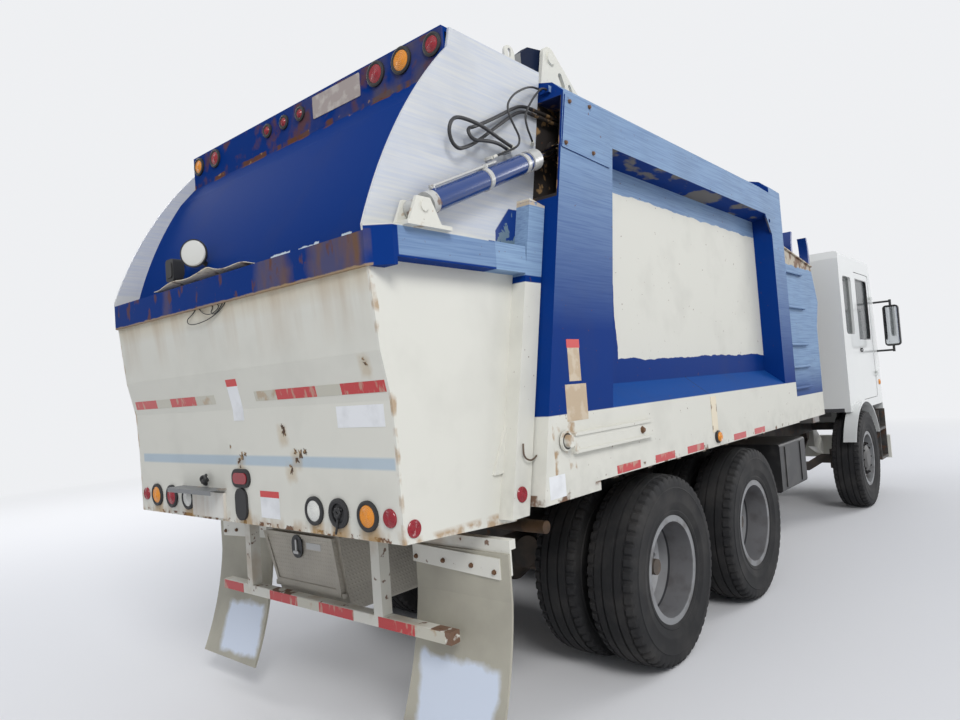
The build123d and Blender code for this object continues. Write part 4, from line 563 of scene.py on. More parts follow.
skin = Paint("gate_back_paint", WHITE, 0.65, specular=0.03)
# Painted shade: a blue-grey band along the lower back where its plate bends
skin.cover((0.34, 0.45, 0.55), 0.7, z=(1.333, 1.378), y=(-1.06, 1.02), soft=0.010)
skin.lay((0.55, 0.46, 0.30), skin.ramp(skin.axis["z"], 1.98, 2.08), 0.55)
under_band = skin.ramp(skin.axis["z"], 1.80, 2.08)
skin.speckle(TAN_RUST, 9.0, 0.44, 0.70, 0.45, stretch=(1, 1, 0.10), inside=under_band)
foot = skin.ramp(skin.axis["z"], 1.115, 1.065)
skin.speckle(TAN_RUST, 17.0, 0.44, 0.62, 0.7, stretch=(1, 1, 0.5), inside=foot)
skin.speckle(RUST, 26.0, 0.52, 0.58, 0.9, inside=skin.region(z=(None, 1.078)))
under_gate = skin.region(x=(-3.99, None), z=(None, 1.60))
skin.lay((0.085, 0.060, 0.042), under_gate, 0.92)
skin.speckle((0.20, 0.13, 0.08), 4.0, 0.40, 0.75, 0.6, inside=under_gate)
for y, half in UNDER_LAMPS:
    skin.cover((0.40, 0.24, 0.08), 0.6, ragged=0.02, grain=14.0, soft=0.03,
               y=(y - half, y + half), z=(1.05, 1.13))
for y, z in UNDER_CHIPS:
    skin.cover((0.45, 0.33, 0.18), 0.45, ragged=0.03, grain=16.0, soft=0.03,
               y=(y - 0.03, y + 0.03), z=(z - 0.045, z + 0.03))
skin.cover(BLUE, z=(BAND_TOP - 0.01, None))
lap = skin.region(z=(STRIP_LOW - 0.012, STRIP_LOW + 0.024), ragged=0.012, grain=14.0)
skin.speckle(RUST, 9.0, 0.46, 0.54, 0.9, stretch=(1, 1, 0.3), inside=lap)
skin.speckle(TAN_RUST, 19.0, 0.62, 0.66, 0.8, inside=lap)
strip = skin.region(x=(-3.615, -3.60), z=(STRIP_LOW, 3.145))
to_the_right = skin.math("MULTIPLY", strip, skin.ramp(skin.axis["y"], 0.3, -0.7))
skin.speckle((0.10, 0.08, 0.09), 5.0, 0.40, 0.62, 0.75, inside=to_the_right)
skin.speckle(RUST, 9.0, 0.52, 0.64, 0.7, inside=strip)
for span in ((-0.43, -0.28), (-0.64, -0.49), (-0.85, -0.79)):
    skin.cover((0.62, 0.70, 0.74), 0.9, ragged=0.02, grain=24.0, y=span, z=CHIP_Z)
skin.speckle(GRIME, 3.0, 0.50, 0.80, 0.11)
put_on(skin, "tailgate_skin")
print("tailgate's back painted")

# %% [markdown]
# The side plates are white below the beam. Above it the white carries painted shade and a
# painted blue sky reflection, laid on in brushed streaks. One corner was missed and is still
# blue, below a slanting line. A region's edges are upright or level, so the slant is a sum of X
# and Z with a steep ramp.
# region's edges are upright or level, so the slant is a sum of X and Z with a steep ramp.

# %% Paint of the tailgate's side plates
plate = Paint("gate_side_paint", WHITE, 0.45, specular=0.3)
brushed = plate.ramp(plate.noise(60.0, (0.06, 1.0, 1.6), detail=3.0), 0.30, 0.65)
shaded_upper = plate.ramp(plate.axis["z"], 2.20, 2.30)
# Painted shade and sky reflection: blue-grey over the plates above the beam, streaked
plate.lay((0.50, 0.53, 0.60), shaded_upper, 0.45)
plate.lay((0.38, 0.44, 0.58), plate.math("MULTIPLY", brushed, shaded_upper), 0.45)
# A patch is left blue below the line Z = 1.05 X + 5.828, with peaks of dull undercoat in it
below_slant = plate.ramp(plate.slope(-1.05, 1.0), 5.832, 5.824)
patch = plate.region(ragged=0.010, grain=11.0, x=(-3.36, -3.00), z=(2.20, 2.42))
left_blue = plate.math("MULTIPLY", patch, below_slant)
plate.lay(BLUE, left_blue)
peaks = plate.region(ragged=0.14, grain=12.0, x=(-3.33, -3.00), z=(2.10, 2.30))
plate.lay(DULL_UNDERCOAT, plate.math("MULTIPLY", peaks, left_blue))
plate.speckle(DULL_UNDERCOAT, 13.0, 0.61, 0.63, stretch=(1.6, 1, 0.7), inside=left_blue)
plate_foot = plate.ramp(plate.axis["z"], 1.082, 1.062)
plate.speckle(TAN_RUST, 15.0, 0.44, 0.60, 0.8, inside=plate_foot)
for edge_x, edge_z in (((-4.12, -4.075), (1.60, 2.08)), ((-4.05, -4.012), (1.06, 1.62))):
    stain = plate.region(x=edge_x, z=edge_z, ragged=0.02)
    plate.speckle(TAN_RUST, 12.0, 0.45, 0.62, 0.75, inside=stain)
plate.speckle(GRIME, 3.0, 0.50, 0.80, 0.11)
put_on(plate, "tailgate_sides")
print("side plates painted")

# %% [markdown]
# The tailgate's frame carries the blue cross beam. Along the sides its blue is pale, partly
# chalky and partly painted sun glare, and its rear face rusts in three places, from which the
# rust runs down. So the spots are stretched upright and held inside soft spans of Y, and one
# loop lays all three.

# %% Paint of the tailgate's frame
BEAM_FOOT, BEAM_TOP, BEAM_BACK = 2.07, 2.226, -4.10
ARM_END_X = (-3.5, -3.0)

beam = Paint("gate_frame_paint", WHITE, 0.6, specular=0.06)
beam.cover(BLUE, z=(BEAM_FOOT, BEAM_TOP))
beam.cover(BLUE, x=ARM_END_X, z=(2.10, 2.449))
# Painted shade: the hinge block's face is laid near-black blue
beam.cover((0.004, 0.010, 0.032), x=(-2.985, None), y=(-1.10, 1.10), z=(3.12, None))
# Pale veil along the sides: partly chalking, partly painted sun glare
chalk_and_glare(beam, beam.region(x=(-4.02, -3.46), z=(2.118, 2.2275)), 0.75)
chalk_and_glare(beam, beam.region(x=(-3.46, -3.0), z=(2.10, 2.445)), 0.95, sheltered=False)
rear_face = beam.region(x=(None, BEAM_BACK), z=(BEAM_FOOT, 2.215))
for span, share in (((0.43, 0.47), 0.7), ((-0.60, -0.36), 0.75), ((-1.08, -0.74), 0.9)):
    patch = beam.region(ragged=0.05, grain=9.0, y=span, soft=0.06)
    drips = beam.spots(12.0, 0.40, 0.66, stretch=(1, 1, 0.30), inside=rear_face)
    beam.lay(RUST, beam.math("MULTIPLY", drips, patch), share)
    beam.lay((0.20, 0.15, 0.10), beam.math("MULTIPLY", rear_face, patch), 0.35)
beam.speckle(RUST, 16.0, 0.60, 0.66, 0.7, stretch=(1, 1, 0.5), inside=rear_face)
beam.cover((0.40, 0.28, 0.14), 0.7, ragged=0.008, grain=16.0, x=(None, BEAM_BACK),
           z=(BEAM_FOOT, 2.088))
ears = beam.region(x=(-4.03, -3.75), z=(BEAM_TOP, 2.36))
beam.speckle(TAN_RUST, 17.0, 0.60, 0.66, 0.7, inside=ears)
cap = beam.region(x=ARM_END_X, z=(2.430, 2.47))
beam.speckle((0.55, 0.44, 0.30), 18.0, 0.40, 0.55, 0.9, inside=cap)
weathered(beam)
put_on(beam, "tailgate_frame")
print("tailgate's frame painted")

# %% [markdown]
# The lift cylinders keep a glossy blue barrel. Their clevis, clamps, end nut and the small
# pipe along the top are bare metal, so the masks measure how far a point lies along the
# barrel and how far above its centre line.

# %% Lift cylinders
LIFT_LOW = np.array([-3.904, 1.135, 2.306])
LIFT_HIGH = np.array([-2.871, 1.135, 2.760])
lift_run = (LIFT_HIGH - LIFT_LOW) / np.linalg.norm(LIFT_HIGH - LIFT_LOW)
barrel = Paint("barrel_paint", (0.002, 0.034, 0.17), 0.2, coat=0.3)
foot_rise = LIFT_LOW[2] * lift_run[0] - LIFT_LOW[0] * lift_run[2]
barrel.axis["t"] = barrel.slope(lift_run[0], lift_run[2], -LIFT_LOW @ lift_run)
barrel.axis["r"] = barrel.slope(-lift_run[2], lift_run[0], -foot_rise)
SILVER = (0.46, 0.46, 0.44)
for span in ((-0.05, 0.098), (0.450, 0.480), (0.754, 0.784), (0.808, 0.90)):
    barrel.cover(SILVER, t=span, soft=0.002)
barrel.cover(SILVER, r=(0.0462, None), soft=0.001)
barrel.speckle(RUST, 22.0, 0.55, 0.62, 0.8, inside=barrel.region(t=(-0.05, 0.11)))
barrel.speckle(RUST, 24.0, 0.60, 0.65, 0.8, inside=barrel.region(t=(0.80, 0.90)))
put_on(barrel, "lift_barrel_right", "lift_barrel_left")

chrome = Paint("rod_chrome", (0.75, 0.76, 0.78), 0.12, metallic=1.0)
put_on(chrome, "lift_rod_right", "lift_rod_left")
print("lift run", np.round(lift_run, 3))

# %% [markdown]
# Below the body everything is dusty. The rails are black and the axles bare iron, with brown
# dust on both, and the guard is white steel, rusty where things have struck it. The mud flaps
# are pale belting, each with a torn patch of white paint whose blue tint is painted shade.

# %% Rails, axles, guard and flaps
rails = Paint("frame_black", (0.035, 0.034, 0.034), 0.55)
rails.speckle((0.13, 0.11, 0.09), 6.0, 0.42, 0.75, 0.7)
rails.speckle(RUST, 14.0, 0.56, 0.66, 0.6)
put_on(rails, "frame_rails")

iron = Paint("axle_iron", (0.06, 0.052, 0.046), 0.7)
iron.speckle((0.15, 0.11, 0.08), 7.0, 0.42, 0.72, 0.8)
put_on(iron, "axles", "engine_block", "knuckle_right", "knuckle_left")

guard = Paint("guard_paint", WHITE, 0.6, specular=0.2)
guard.speckle(TAN_RUST, 7.0, 0.50, 0.70, 0.35)
guard.speckle(RUST, 20.0, 0.62, 0.66, 0.85)
for span in ((-0.93, -0.80), (0.24, 0.43)):
    worn = guard.region(ragged=0.02, y=span, z=(0.53, 0.62))
    guard.speckle(RUST, 18.0, 0.42, 0.48, 0.9, inside=worn)
inner_arms = guard.region(x=(-3.45, None))
guard.lay((0.045, 0.030, 0.020), inner_arms)
guard.speckle((0.13, 0.075, 0.04), 9.0, 0.45, 0.65, 0.8, inside=inner_arms)
put_on(guard, "underride_guard")

flap = Paint("flap_belting", (0.40, 0.38, 0.31), 0.65)
flap.speckle(GRIME, 3.5, 0.42, 0.75, 0.25)
for span in ((-1.10, -0.66), (0.62, 1.00)):
    # Torn patch of white paint on each flap, tinted blue as painted shade
    flap.cover((0.60, 0.66, 0.76), ragged=0.05, grain=8.0, soft=0.03, y=span, z=(0.19, 0.45))
put_on(flap, "mud_flaps")
print("rails, axles, guard and flaps painted")

# %% [markdown]
# The toolbox is bare tread plate. Its raised bars come from two crossed wave patterns that
# are only bumped, since a real bar is 2 mm high. The latch, its handle and a blank label are
# thin rounded slabs that ride on the door.

# %% Toolbox
BAR_PITCH = 150.0
DOOR_X = -3.588
LATCH = (0.240, 0.838)

tread = Paint("tread_plate", (0.44, 0.41, 0.35), 0.5, metallic=0.3)
tread.speckle(GRIME, 4.0, 0.42, 0.75, 0.30)
along_wall = tread.math("ADD", tread.axis["x"], tread.axis["y"])
bars = []
for sign in (1.0, -1.0):
    slant = tread.math("MULTIPLY_ADD", tread.axis["z"], sign, along_wall)
    bars.append(tread.math("SINE", tread.math("MULTIPLY", slant, BAR_PITCH)))
raised = tread.math("MULTIPLY", bars[0], bars[1])
tread.dent(tread.ramp(raised, 0.30, 0.60), 0.0012)
put_on(tread, "toolbox", "toolbox_door")

latch_black = Paint("latch_black", (0.012, 0.013, 0.015), 0.45)
latch_silver = Paint("latch_silver", (0.42, 0.42, 0.41), 0.35, metallic=0.6)
piece("toolbox_latch", "toolbox_door", latch_black, "tread_plate",
      back_slab(rounded(0.092, 0.122, 0.045), (DOOR_X - 0.0003, *LATCH), 0.005))
piece("toolbox_handle", "toolbox_door", latch_silver, "tread_plate",
      back_slab(rounded(0.014, 0.075, 0.006), (DOOR_X - 0.0055, *LATCH), 0.006),
      back_slab(rounded(0.046, 0.016, 0.006), (DOOR_X - 0.0055, LATCH[0], LATCH[1] - 0.030), 0.008))
piece("toolbox_blank_label", "toolbox_door", latch_silver, "tread_plate",
      back_slab(rounded(0.125, 0.034, 0.003, 3), (DOOR_X + 0.0057, 0.105, 0.846), 0.001))

# %% [markdown]
# The photograph shows little of the loading arm, the tanks, the exhaust stack and the cab,
# so their finishes are plain. The cab's paint is smoother than the body's and has a clear
# coat. Its grille opening and lamp recesses in the front panel are painted near black, as
# painted shade.

# %% Arm, tanks, stack and cab
bare_white = Paint("bare_white", WHITE, 0.4, coat=0.1)
bare_white.speckle(RUST, 30.0, 0.68, 0.72, 0.7)
put_on(bare_white, "front_bumper", "boom_housing")

arm_blue = Paint("arm_blue", BLUE, 0.35, coat=0.2)
weathered(arm_blue)
put_on(arm_blue, "lift_arm", "finger_front", "finger_rear")
arm_steel = Paint("arm_steel", (0.28, 0.27, 0.26), 0.45, metallic=0.8)
arm_steel.speckle(RUST, 8.0, 0.50, 0.66, 0.5)
put_on(arm_steel, "boom_slide")

tank = Paint("tank_metal", (0.55, 0.55, 0.56), 0.3, metallic=0.9)
tank.cover(WHITE, x=(1.95, None))
tank.speckle(GRIME, 3.0, 0.45, 0.80, 0.3)
put_on(tank, "tanks")

stack = Paint("stack_metal", (0.36, 0.34, 0.31), 0.35, metallic=0.9)
stack.lay(TAN_RUST, stack.ramp(stack.axis["z"], 2.2, 1.3), 0.5)
put_on(stack, "exhaust_stack")

black = Paint("black_plastic", (0.018, 0.018, 0.019), 0.45)
black.speckle((0.09, 0.085, 0.08), 6.0, 0.50, 0.80, 0.5)
put_on(black, "battery_box", "mirrors")

cab_white = Paint("cab_paint", CAB_WHITE, 0.22, coat=0.5)
# Painted shade: near black in the grille opening and the lamp recesses
cab_white.cover(RECESS_SHADE, x=(4.020, 4.052), y=(-0.552, 0.552), z=(0.898, 1.382))
for y in ((-1.068, -0.712), (0.712, 1.068)):
    cab_white.cover(RECESS_SHADE, x=(4.020, 4.034), y=y, z=(0.832, 1.008))
cab_white.lay(GRIME, cab_white.ramp(cab_white.axis["z"], 1.15, 0.80), 0.22)
put_on(cab_white, "cab_sides", "cab_back", "cab_roof", "cab_front")

liner = Paint("cab_liner", (0.05, 0.05, 0.053), 0.6)
put_on(liner, "cab_floor")
trim = Paint("cab_trim", (0.055, 0.056, 0.06), 0.65)
put_on(trim, "cab_interior")
print("arm, tanks, stack and cab painted")

# %% [markdown]
# Window glass is dark and only partly clear: the shader's alpha lets about half of the light
# straight through, and the gloss and a slight tint stay. A black seal runs round the
# windscreen. Each door is one node with its pane, so a mask picks the pane out of it.

# %% Glass
GLASS_TINT = (0.030, 0.045, 0.045)
GLASS_CLEARNESS = 0.55
SCREEN_FOOT, SCREEN_HEAD = np.array([4.048, 1.500]), np.array([3.889, 2.640])
SCREEN_HALF, SEAL = 1.09, 0.032


def clear_glass(paint, mask):
    """Lets light straight through inside the mask: alpha = 1 - clearness * mask."""
    alpha = paint.math("MULTIPLY_ADD", mask, -GLASS_CLEARNESS, 1.0)
    paint.tree.links.new(alpha, paint.shader.inputs["Alpha"])


screen = Paint("window_glass", (0.012, 0.012, 0.013), 0.06)
in_front = screen.region(y=(SEAL - SCREEN_HALF, SCREEN_HALF - SEAL), soft=0.002,
                         z=(SCREEN_FOOT[1] + SEAL, SCREEN_HEAD[1] - SEAL))
clear = screen.math("MAXIMUM", in_front, screen.region(x=(None, 3.6)))
screen.lay(GLASS_TINT, clear)
clear_glass(screen, clear)
put_on(screen, "cab_glass")

for side, sign in SIDES:
    door = Paint(f"door_paint_{side}", CAB_WHITE, 0.2, coat=0.5)
    pane_y = sorted((sign * 1.1185, sign * 1.1275))
    pane = door.region(x=(3.15, 3.71), y=pane_y, z=(1.852, 2.538), soft=0.001)
    door.cover(RUBBER, x=(3.138, 3.722), z=(1.840, 2.550), soft=0.001)
    door.cover(RUBBER, x=(3.112, 3.258), z=(1.700, 1.744), soft=0.001)
    door.lay(GLASS_TINT, pane)
    clear_glass(door, pane)
    put_on(door, f"door_{side}")
print("glass done")

# %% [markdown]
# A truck tyre has a crowned tread cut by grooves, blocks at its shoulders and a side wall
# with raised rings. One grid does it: the first parameter walks the profile from bead to
# bead, the second goes round the wheel, and the groove depth is taken off the radius.

# %% Tyres
TYRE_RADIUS = 0.525
BLOCKS_ROUND, STEPS_PER_BLOCK = 52, 6
GROOVE_DEPTH, SHOULDER_DEPTH = 0.012, 0.007
# Half a section from bead to crown: offset, radius, groove all round (1), and cut between
# blocks, as deep as a groove (1) or as a shoulder (2)
HALF_SECTION = np.array([
    (0.104, 0.285, 0, 0), (0.124, 0.300, 0, 0), (0.128, 0.318, 0, 0), (0.126, 0.324, 0, 0),
    (0.135, 0.362, 0, 0), (0.137, 0.368, 0, 0), (0.136, 0.374, 0, 0), (0.140, 0.405, 0, 0),
    (0.139, 0.440, 0, 0), (0.141, 0.446, 0, 0), (0.137, 0.452, 0, 0), (0.136, 0.470, 0, 2),
    (0.132, 0.497, 0, 2), (0.126, 0.509, 0, 1), (0.110, 0.516, 0, 1), (0.090, 0.5195, 0, 1),
    (0.0875, 0.5195, 1, 0), (0.0795, 0.520, 1, 0), (0.077, 0.5205, 0, 0), (0.040, 0.5235, 0, 0),
    (0.0375, 0.5235, 1, 0), (0.0295, 0.524, 1, 0), (0.027, 0.524, 0, 0), (0.0, 0.525, 0, 0),
])


def tyre_shape(x, y):
    """Radius = section - groove depth; Y = offset; the section goes round and closes at its beads."""
    half = HALF_SECTION
    offset, radius, groove, cut = np.vstack([half, half[-2::-1] * (-1, 1, 1, 1)]).T[:, :, None]
    column = np.arange(BLOCKS_ROUND * STEPS_PER_BLOCK)[None, :]
    t = column * 2 * np.pi / (BLOCKS_ROUND * STEPS_PER_BLOCK)
    between = column % STEPS_PER_BLOCK < 2
    depth = GROOVE_DEPTH * (groove + (cut == 1) * between) + SHOULDER_DEPTH * (cut == 2) * between
    r = radius - depth
    points = np.stack([x + r * np.cos(t), y + offset + 0 * r, TYRE_RADIUS + r * np.sin(t)], -1)
    return points.reshape(-1, 3), grid_faces(len(half) * 2 - 1, column.size, wrap=True, loop=True)


rubber = Paint("tyre_rubber", (0.014, 0.014, 0.015), 0.78, specular=0.3)
rubber.speckle((0.060, 0.056, 0.052), 5.0, 0.45, 0.75, 0.5)
STEER_X, MID_X, REAR_X = 2.80, -0.81, -2.13
OUTER_Y, INNER_Y = 1.075, 0.735
for side, sign in SIDES:
    front = piece(f"front_tyre_{side}", f"wheel_front_{side}", rubber, "tyre_rubber",
                  tyre_shape(STEER_X, sign * OUTER_Y), crease=28)
    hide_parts(f"tyre_front_{side}")
    for axle, x in (("mid", MID_X), ("rear", REAR_X)):
        pair = piece(f"{axle}_tyres_{side}", f"wheels_{axle}_{side}", rubber, "tyre_rubber",
                     tyre_shape(x, sign * OUTER_Y), tyre_shape(x, sign * INNER_Y), crease=28)
        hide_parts(f"tyres_{axle}_{side}")

# %% [markdown]
# Steel disc wheels in worn grey paint. The nuts are the dark dots around the hub: six-sided
# turned pieces on a circle. Rust bleeds from them, so the paint goes brown in a ring that is
# measured from each wheel's own centre line.

# %% Rims and wheel nuts
NUT_CIRCLE = 0.1625
NUT_COUNT = 10
# Bands of the twin rims' wells: colour, share, span of Y to each side, soft edge
WELL_BANDS = (
    ((0.42, 0.42, 0.43), 0.6, (0.90, 1.034), 0.002),
    ((0.03, 0.03, 0.035), 0.9, (1.034, 1.048), 0.003),
    ((0.10, 0.095, 0.10), 0.6, (1.048, 1.19), 0.01),
)
dark_nut = Paint("nut_black", (0.022, 0.020, 0.020), 0.5, metallic=0.6)


def wheel_nuts(x, face_y, sign):
    """Nuts on a circle: centre = axle + circle radius * (cos t, sin t), all facing outwards."""
    nut = ((0.0, 0.021), (0.006, 0.021), (0.006, 0.0165), (0.026, 0.0165), (0.030, 0.013))
    stud = ((0.028, 0.010), (0.042, 0.010))
    shapes = []
    for t in np.linspace(0, 2 * np.pi, NUT_COUNT, endpoint=False):
        place = (x + NUT_CIRCLE * np.cos(t), face_y, TYRE_RADIUS + NUT_CIRCLE * np.sin(t))
        shapes += [turned(nut, place, (0, sign, 0), 6), turned(stud, place, (0, sign, 0), 8)]
    return shapes


for name, x in (("front", STEER_X), ("mid", MID_X), ("rear", REAR_X)):
    wheel = Paint(f"rim_paint_{name}", (0.27, 0.275, 0.28), 0.5, metallic=0.2)
    disc_of(wheel, x, TYRE_RADIUS)
    round_nuts = wheel.region(q=(0.14, 0.20), soft=0.03)
    wheel.speckle(TAN_RUST, 13.0, 0.46, 0.68, 0.5, inside=round_nuts)
    wheel.speckle((0.07, 0.055, 0.045), 9.0, 0.48, 0.68, 0.55)
    wheel.cover((0.04, 0.035, 0.03), 0.75, q=(None, 0.142), soft=0.004)
    if name != "front":
        wheel.axis["side"] = wheel.math("ABSOLUTE", wheel.axis["y"])
        for colour, share, side, soft in WELL_BANDS:
            wheel.cover(colour, share, side=side, q=(0.20, None), soft=soft)
    for side, sign in SIDES:
        rims = f"rim_front_{side}" if name == "front" else f"rims_{name}_{side}"
        body = f"wheel_front_{side}" if name == "front" else f"wheels_{name}_{side}"
        face_y = sign * (1.149 if name == "front" else 0.919)
        put_on(wheel, rims)
        piece(f"wheel_nuts_{name}_{side}", body, dark_nut, "rim_paint", *wheel_nuts(x, face_y, sign))

# %% [markdown]
# Two hoses and two thin lines feed the right lift cylinder. They leave the body, hang in
# loops beside the tailgate and come back to the cylinder, so each is a smooth curve with the
# same corner points as in the rigid model. Each is made a mesh tube.

# %% Hoses
HOSE_POINTS = {
    "hose_large_low": (0.016, (
        (-3.0403, -1.092, 2.905), (-3.092, -1.092, 2.905), (-3.172, -1.094, 2.872), (-3.272, -1.098, 2.806),
        (-3.353, -1.103, 2.752), (-3.431, -1.108, 2.698), (-3.517, -1.112, 2.644), (-3.575, -1.116, 2.617),
        (-3.617, -1.12, 2.602), (-3.659, -1.125, 2.617), (-3.681, -1.131, 2.656), (-3.672, -1.136, 2.7),
        (-3.636, -1.139, 2.728), (-3.56, -1.141, 2.731), (-3.486, -1.14, 2.728), (-3.413, -1.137, 2.714),
        (-3.32, -1.124, 2.702), (-3.238, -1.11, 2.698),
    )),
    "hose_large_high": (0.016, (
        (-3.0403, -1.092, 2.93), (-3.1, -1.092, 2.93), (-3.182, -1.094, 2.894), (-3.282, -1.097, 2.837),
        (-3.387, -1.1, 2.78), (-3.455, -1.104, 2.746), (-3.503, -1.11, 2.724), (-3.541, -1.118, 2.708),
        (-3.55, -1.124, 2.687), (-3.543, -1.13, 2.666), (-3.524, -1.135, 2.655), (-3.49, -1.139, 2.66),
        (-3.44, -1.141, 2.669), (-3.37, -1.138, 2.675), (-3.325, -1.13, 2.674), (-3.281, -1.12, 2.672),
    )),
    "hose_line_long": (0.01, (
        (-2.9503, -1.104, 3.042), (-3, -1.104, 3.042), (-3.07, -1.118, 3.02), (-3.145, -1.136, 2.984),
        (-3.239, -1.15, 2.93), (-3.298, -1.155, 2.873), (-3.312, -1.16, 2.833), (-3.302, -1.164, 2.799),
        (-3.284, -1.165, 2.774), (-3.262, -1.164, 2.75), (-3.24, -1.161, 2.729), (-3.236, -1.158, 2.707),
        (-3.246, -1.154, 2.686), (-3.275, -1.147, 2.668), (-3.322, -1.135, 2.647), (-3.366, -1.122, 2.624),
    )),
    "hose_line_short": (0.01, (
        (-2.9503, -1.136, 3.034), (-2.99, -1.136, 3.034), (-3.03, -1.136, 3), (-3.078, -1.136, 2.952),
        (-3.124, -1.136, 2.895), (-3.148, -1.135, 2.847), (-3.127, -1.13, 2.8), (-3.092, -1.118, 2.779),
        (-3.05, -1.098, 2.768),
    )),
}


def smooth_run(name, points):
    """Points along the smooth curve of order three that has the given points as its controls."""
    data = bpy.data.curves.new(name, "CURVE")
    data.dimensions = "3D"
    spline = data.splines.new("NURBS")
    spline.points.add(len(points) - 1)
    spline.points.foreach_set("co", np.c_[np.asarray(points), np.ones(len(points))].ravel())
    spline.order_u = 3
    spline.use_endpoint_u = True
    data.resolution_u = 8
    line = bpy.data.objects.new(name, data)
    bpy.context.collection.objects.link(line)
    bpy.context.view_layer.update()
    mesh = bpy.data.meshes.new_from_object(line)
    run = np.empty(len(mesh.vertices) * 3)
    mesh.vertices.foreach_get("co", run)
    bpy.data.meshes.remove(mesh)
    bpy.data.objects.remove(line)
    return run.reshape(-1, 3)


hose_rubber = Paint("hose_rubber", (0.020, 0.020, 0.022), 0.5)
for name, (diameter, points) in HOSE_POINTS.items():
    run = smooth_run(name, points)
    hose = piece(f"soft_{name}", None, hose_rubber, "hose_rubber", tube(run, diameter / 2), crease=60)
    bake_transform(hose)
    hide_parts(name)

# %% [markdown]
# The lamps sit in black rubber rings. A lens is a shallow dome with ribs pressed into it, so
# its profile is a quarter of an ellipse with a small ripple added. One of the lower lamps
# is broken and leaves a dark hole in its ring.

# %% Lamps
LAMP_BACK_X = -4.023
STRIP_X = -3.610
LOW_Z, TOP_Z = 1.155, 3.085


def lens(centre, radius, height, axis=BACKWARDS):
    """Height = dome height * sqrt(1 - (r / R) squared) + ripple, from the rim to the middle."""
    r = np.linspace(1, 0.02, 14)
    dome = height * np.sqrt(np.clip(1 - r**2, 0, 1)) + 0.0008 * np.cos(r * 40)
    profile = np.vstack([(0.0, radius), np.stack([dome + 0.004, r * radius], -1)])
    return turned(profile, centre, axis, 32)


def ring(centre, outer, inner, height, axis=BACKWARDS):
    """Rubber ring: outside wall, rounded top and inside wall, as one closed turned strip."""
    middle = (outer + inner) / 2
    profile = ((0, inner), (0, outer), (height * 0.7, outer), (height, middle), (height * 0.7, inner))
    return turned(profile, centre, axis, 32, closed=False)


lens_red = Paint("lens_red", (0.26, 0.004, 0.014), 0.25, coat=0.2)
lens_amber = Paint("lens_amber", (0.68, 0.24, 0.012), 0.25, coat=0.2)
lens_white = Paint("lens_white", (0.62, 0.62, 0.58), 0.18, coat=0.6)
grommet = Paint("grommet", (0.016, 0.016, 0.017), 0.6)
# Each lamp: Y, radius, kind, and 1 where it sits in a ring
LOW_LAMPS = ((-1.010, 0.036, "red", 0), (-0.887, 0.046, "amber", 1), (-0.710, 0.0, "broken", 1),
             (-0.548, 0.046, "white", 1), (0.530, 0.046, "white", 1), (0.706, 0.046, "red", 1),
             (0.876, 0.046, "amber", 1), (1.007, 0.034, "red", 0))
TOP_LAMPS = ((0.995, 0.040, "amber", 1), (0.802, 0.040, "red", 1), (0.244, 0.024, "red", 1),
             (0.088, 0.024, "red", 1), (-0.057, 0.024, "red", 1), (-0.647, 0.045, "red", 1),
             (-0.818, 0.048, "amber", 1), (-1.010, 0.038, "red", 1))
lens_shapes = {"red": [], "amber": [], "white": []}
ring_shapes = []
for table, x, z in ((LOW_LAMPS, LAMP_BACK_X, LOW_Z), (TOP_LAMPS, STRIP_X, TOP_Z)):
    for y, radius, kind, has_ring in table:
        place = (x, y, z)
        if kind == "broken":
            hole = turned(((0, 0.046), (0.004, 0.03), (0.007, 0.01)), place, BACKWARDS, 9)
            ring_shapes += [ring(place, 0.060, 0.040, 0.014), hole]
            continue
        lens_shapes[kind].append(lens(place, radius, 0.012 if has_ring else 0.006))
        if has_ring:
            ring_shapes.append(ring(place, radius + 0.014, radius - 0.002, 0.013))
for place in ((-3.40, 1.150, 1.147), (-3.968, 1.076, 1.111)):
    lens_shapes["red"] += both_sides(lens(place, 0.034, 0.004, OUTWARDS))
red = piece("lamp_lenses_red", "tailgate", lens_red, "lamp_lens", *lens_shapes["red"])
piece("lamp_lenses_amber", "tailgate", lens_amber, "lamp_lens", *lens_shapes["amber"])
piece("lamp_lenses_white", "tailgate", lens_white, "lamp_lens", *lens_shapes["white"])
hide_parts("tailgate_lamps")
OVAL_Z, OVAL_X = 1.272, -4.0225
oval_ring = back_slab(rounded(0.150, 0.086, 0.040), (OVAL_X, 0.004, OVAL_Z), 0.012)
tall_ring = back_slab(rounded(0.094, 0.150, 0.045), (LAMP_BACK_X, 0.011, 1.152), 0.012)
oval_lens = back_slab(rounded(0.116, 0.052, 0.025), (OVAL_X - 0.0125, 0.004, OVAL_Z), 0.004)
piece("lamp_grommets", "tailgate", grommet, "lamp_lens", oval_ring, tall_ring, *ring_shapes)
piece("oval_reflector", "tailgate", lens_red, "lamp_lens", oval_lens)

# %% [markdown]
# Rows of red and white reflective tape run along the lower back and the guard, and a red one
# along each skirt. Tape and labels are thin sheets, and the lower back is bent, so a sheet
# there is a small grid whose X comes from the plate's side line at each height.

# %% Tape
# Side line of the lower back, from its foot up: Z, X
BACK_LINE = np.array([(1.060, -4.020), (1.383, -4.025), (1.592, -4.035), (1.776, -4.076),
                      (2.080, -4.106)])
BODY_Y = 1.2200
THIN = 0.0012


def back_sheet(y, z):
    """Sheet on the lower back: X = the plate's side line at each height, less the sheet's wall."""
    bends = [height for height in BACK_LINE[:, 0] if z[0] < height < z[1]]
    height = np.unique(np.r_[z, bends])
    x = np.interp(height, *BACK_LINE.T) - THIN
    points = np.array([[(xx, yy, zz) for yy in (max(y), min(y))] for xx, zz in zip(x, height)])
    return sheet_of(points, THIN - 0.0003, FORWARDS)


def side_sheet(x, z, wall=0.0010):
    """Flat sheet on the body's side, and its mirror image on the other side."""
    return both_sides(brick((x[0], BODY_Y, z[0]), (x[1], BODY_Y + wall, z[1])))


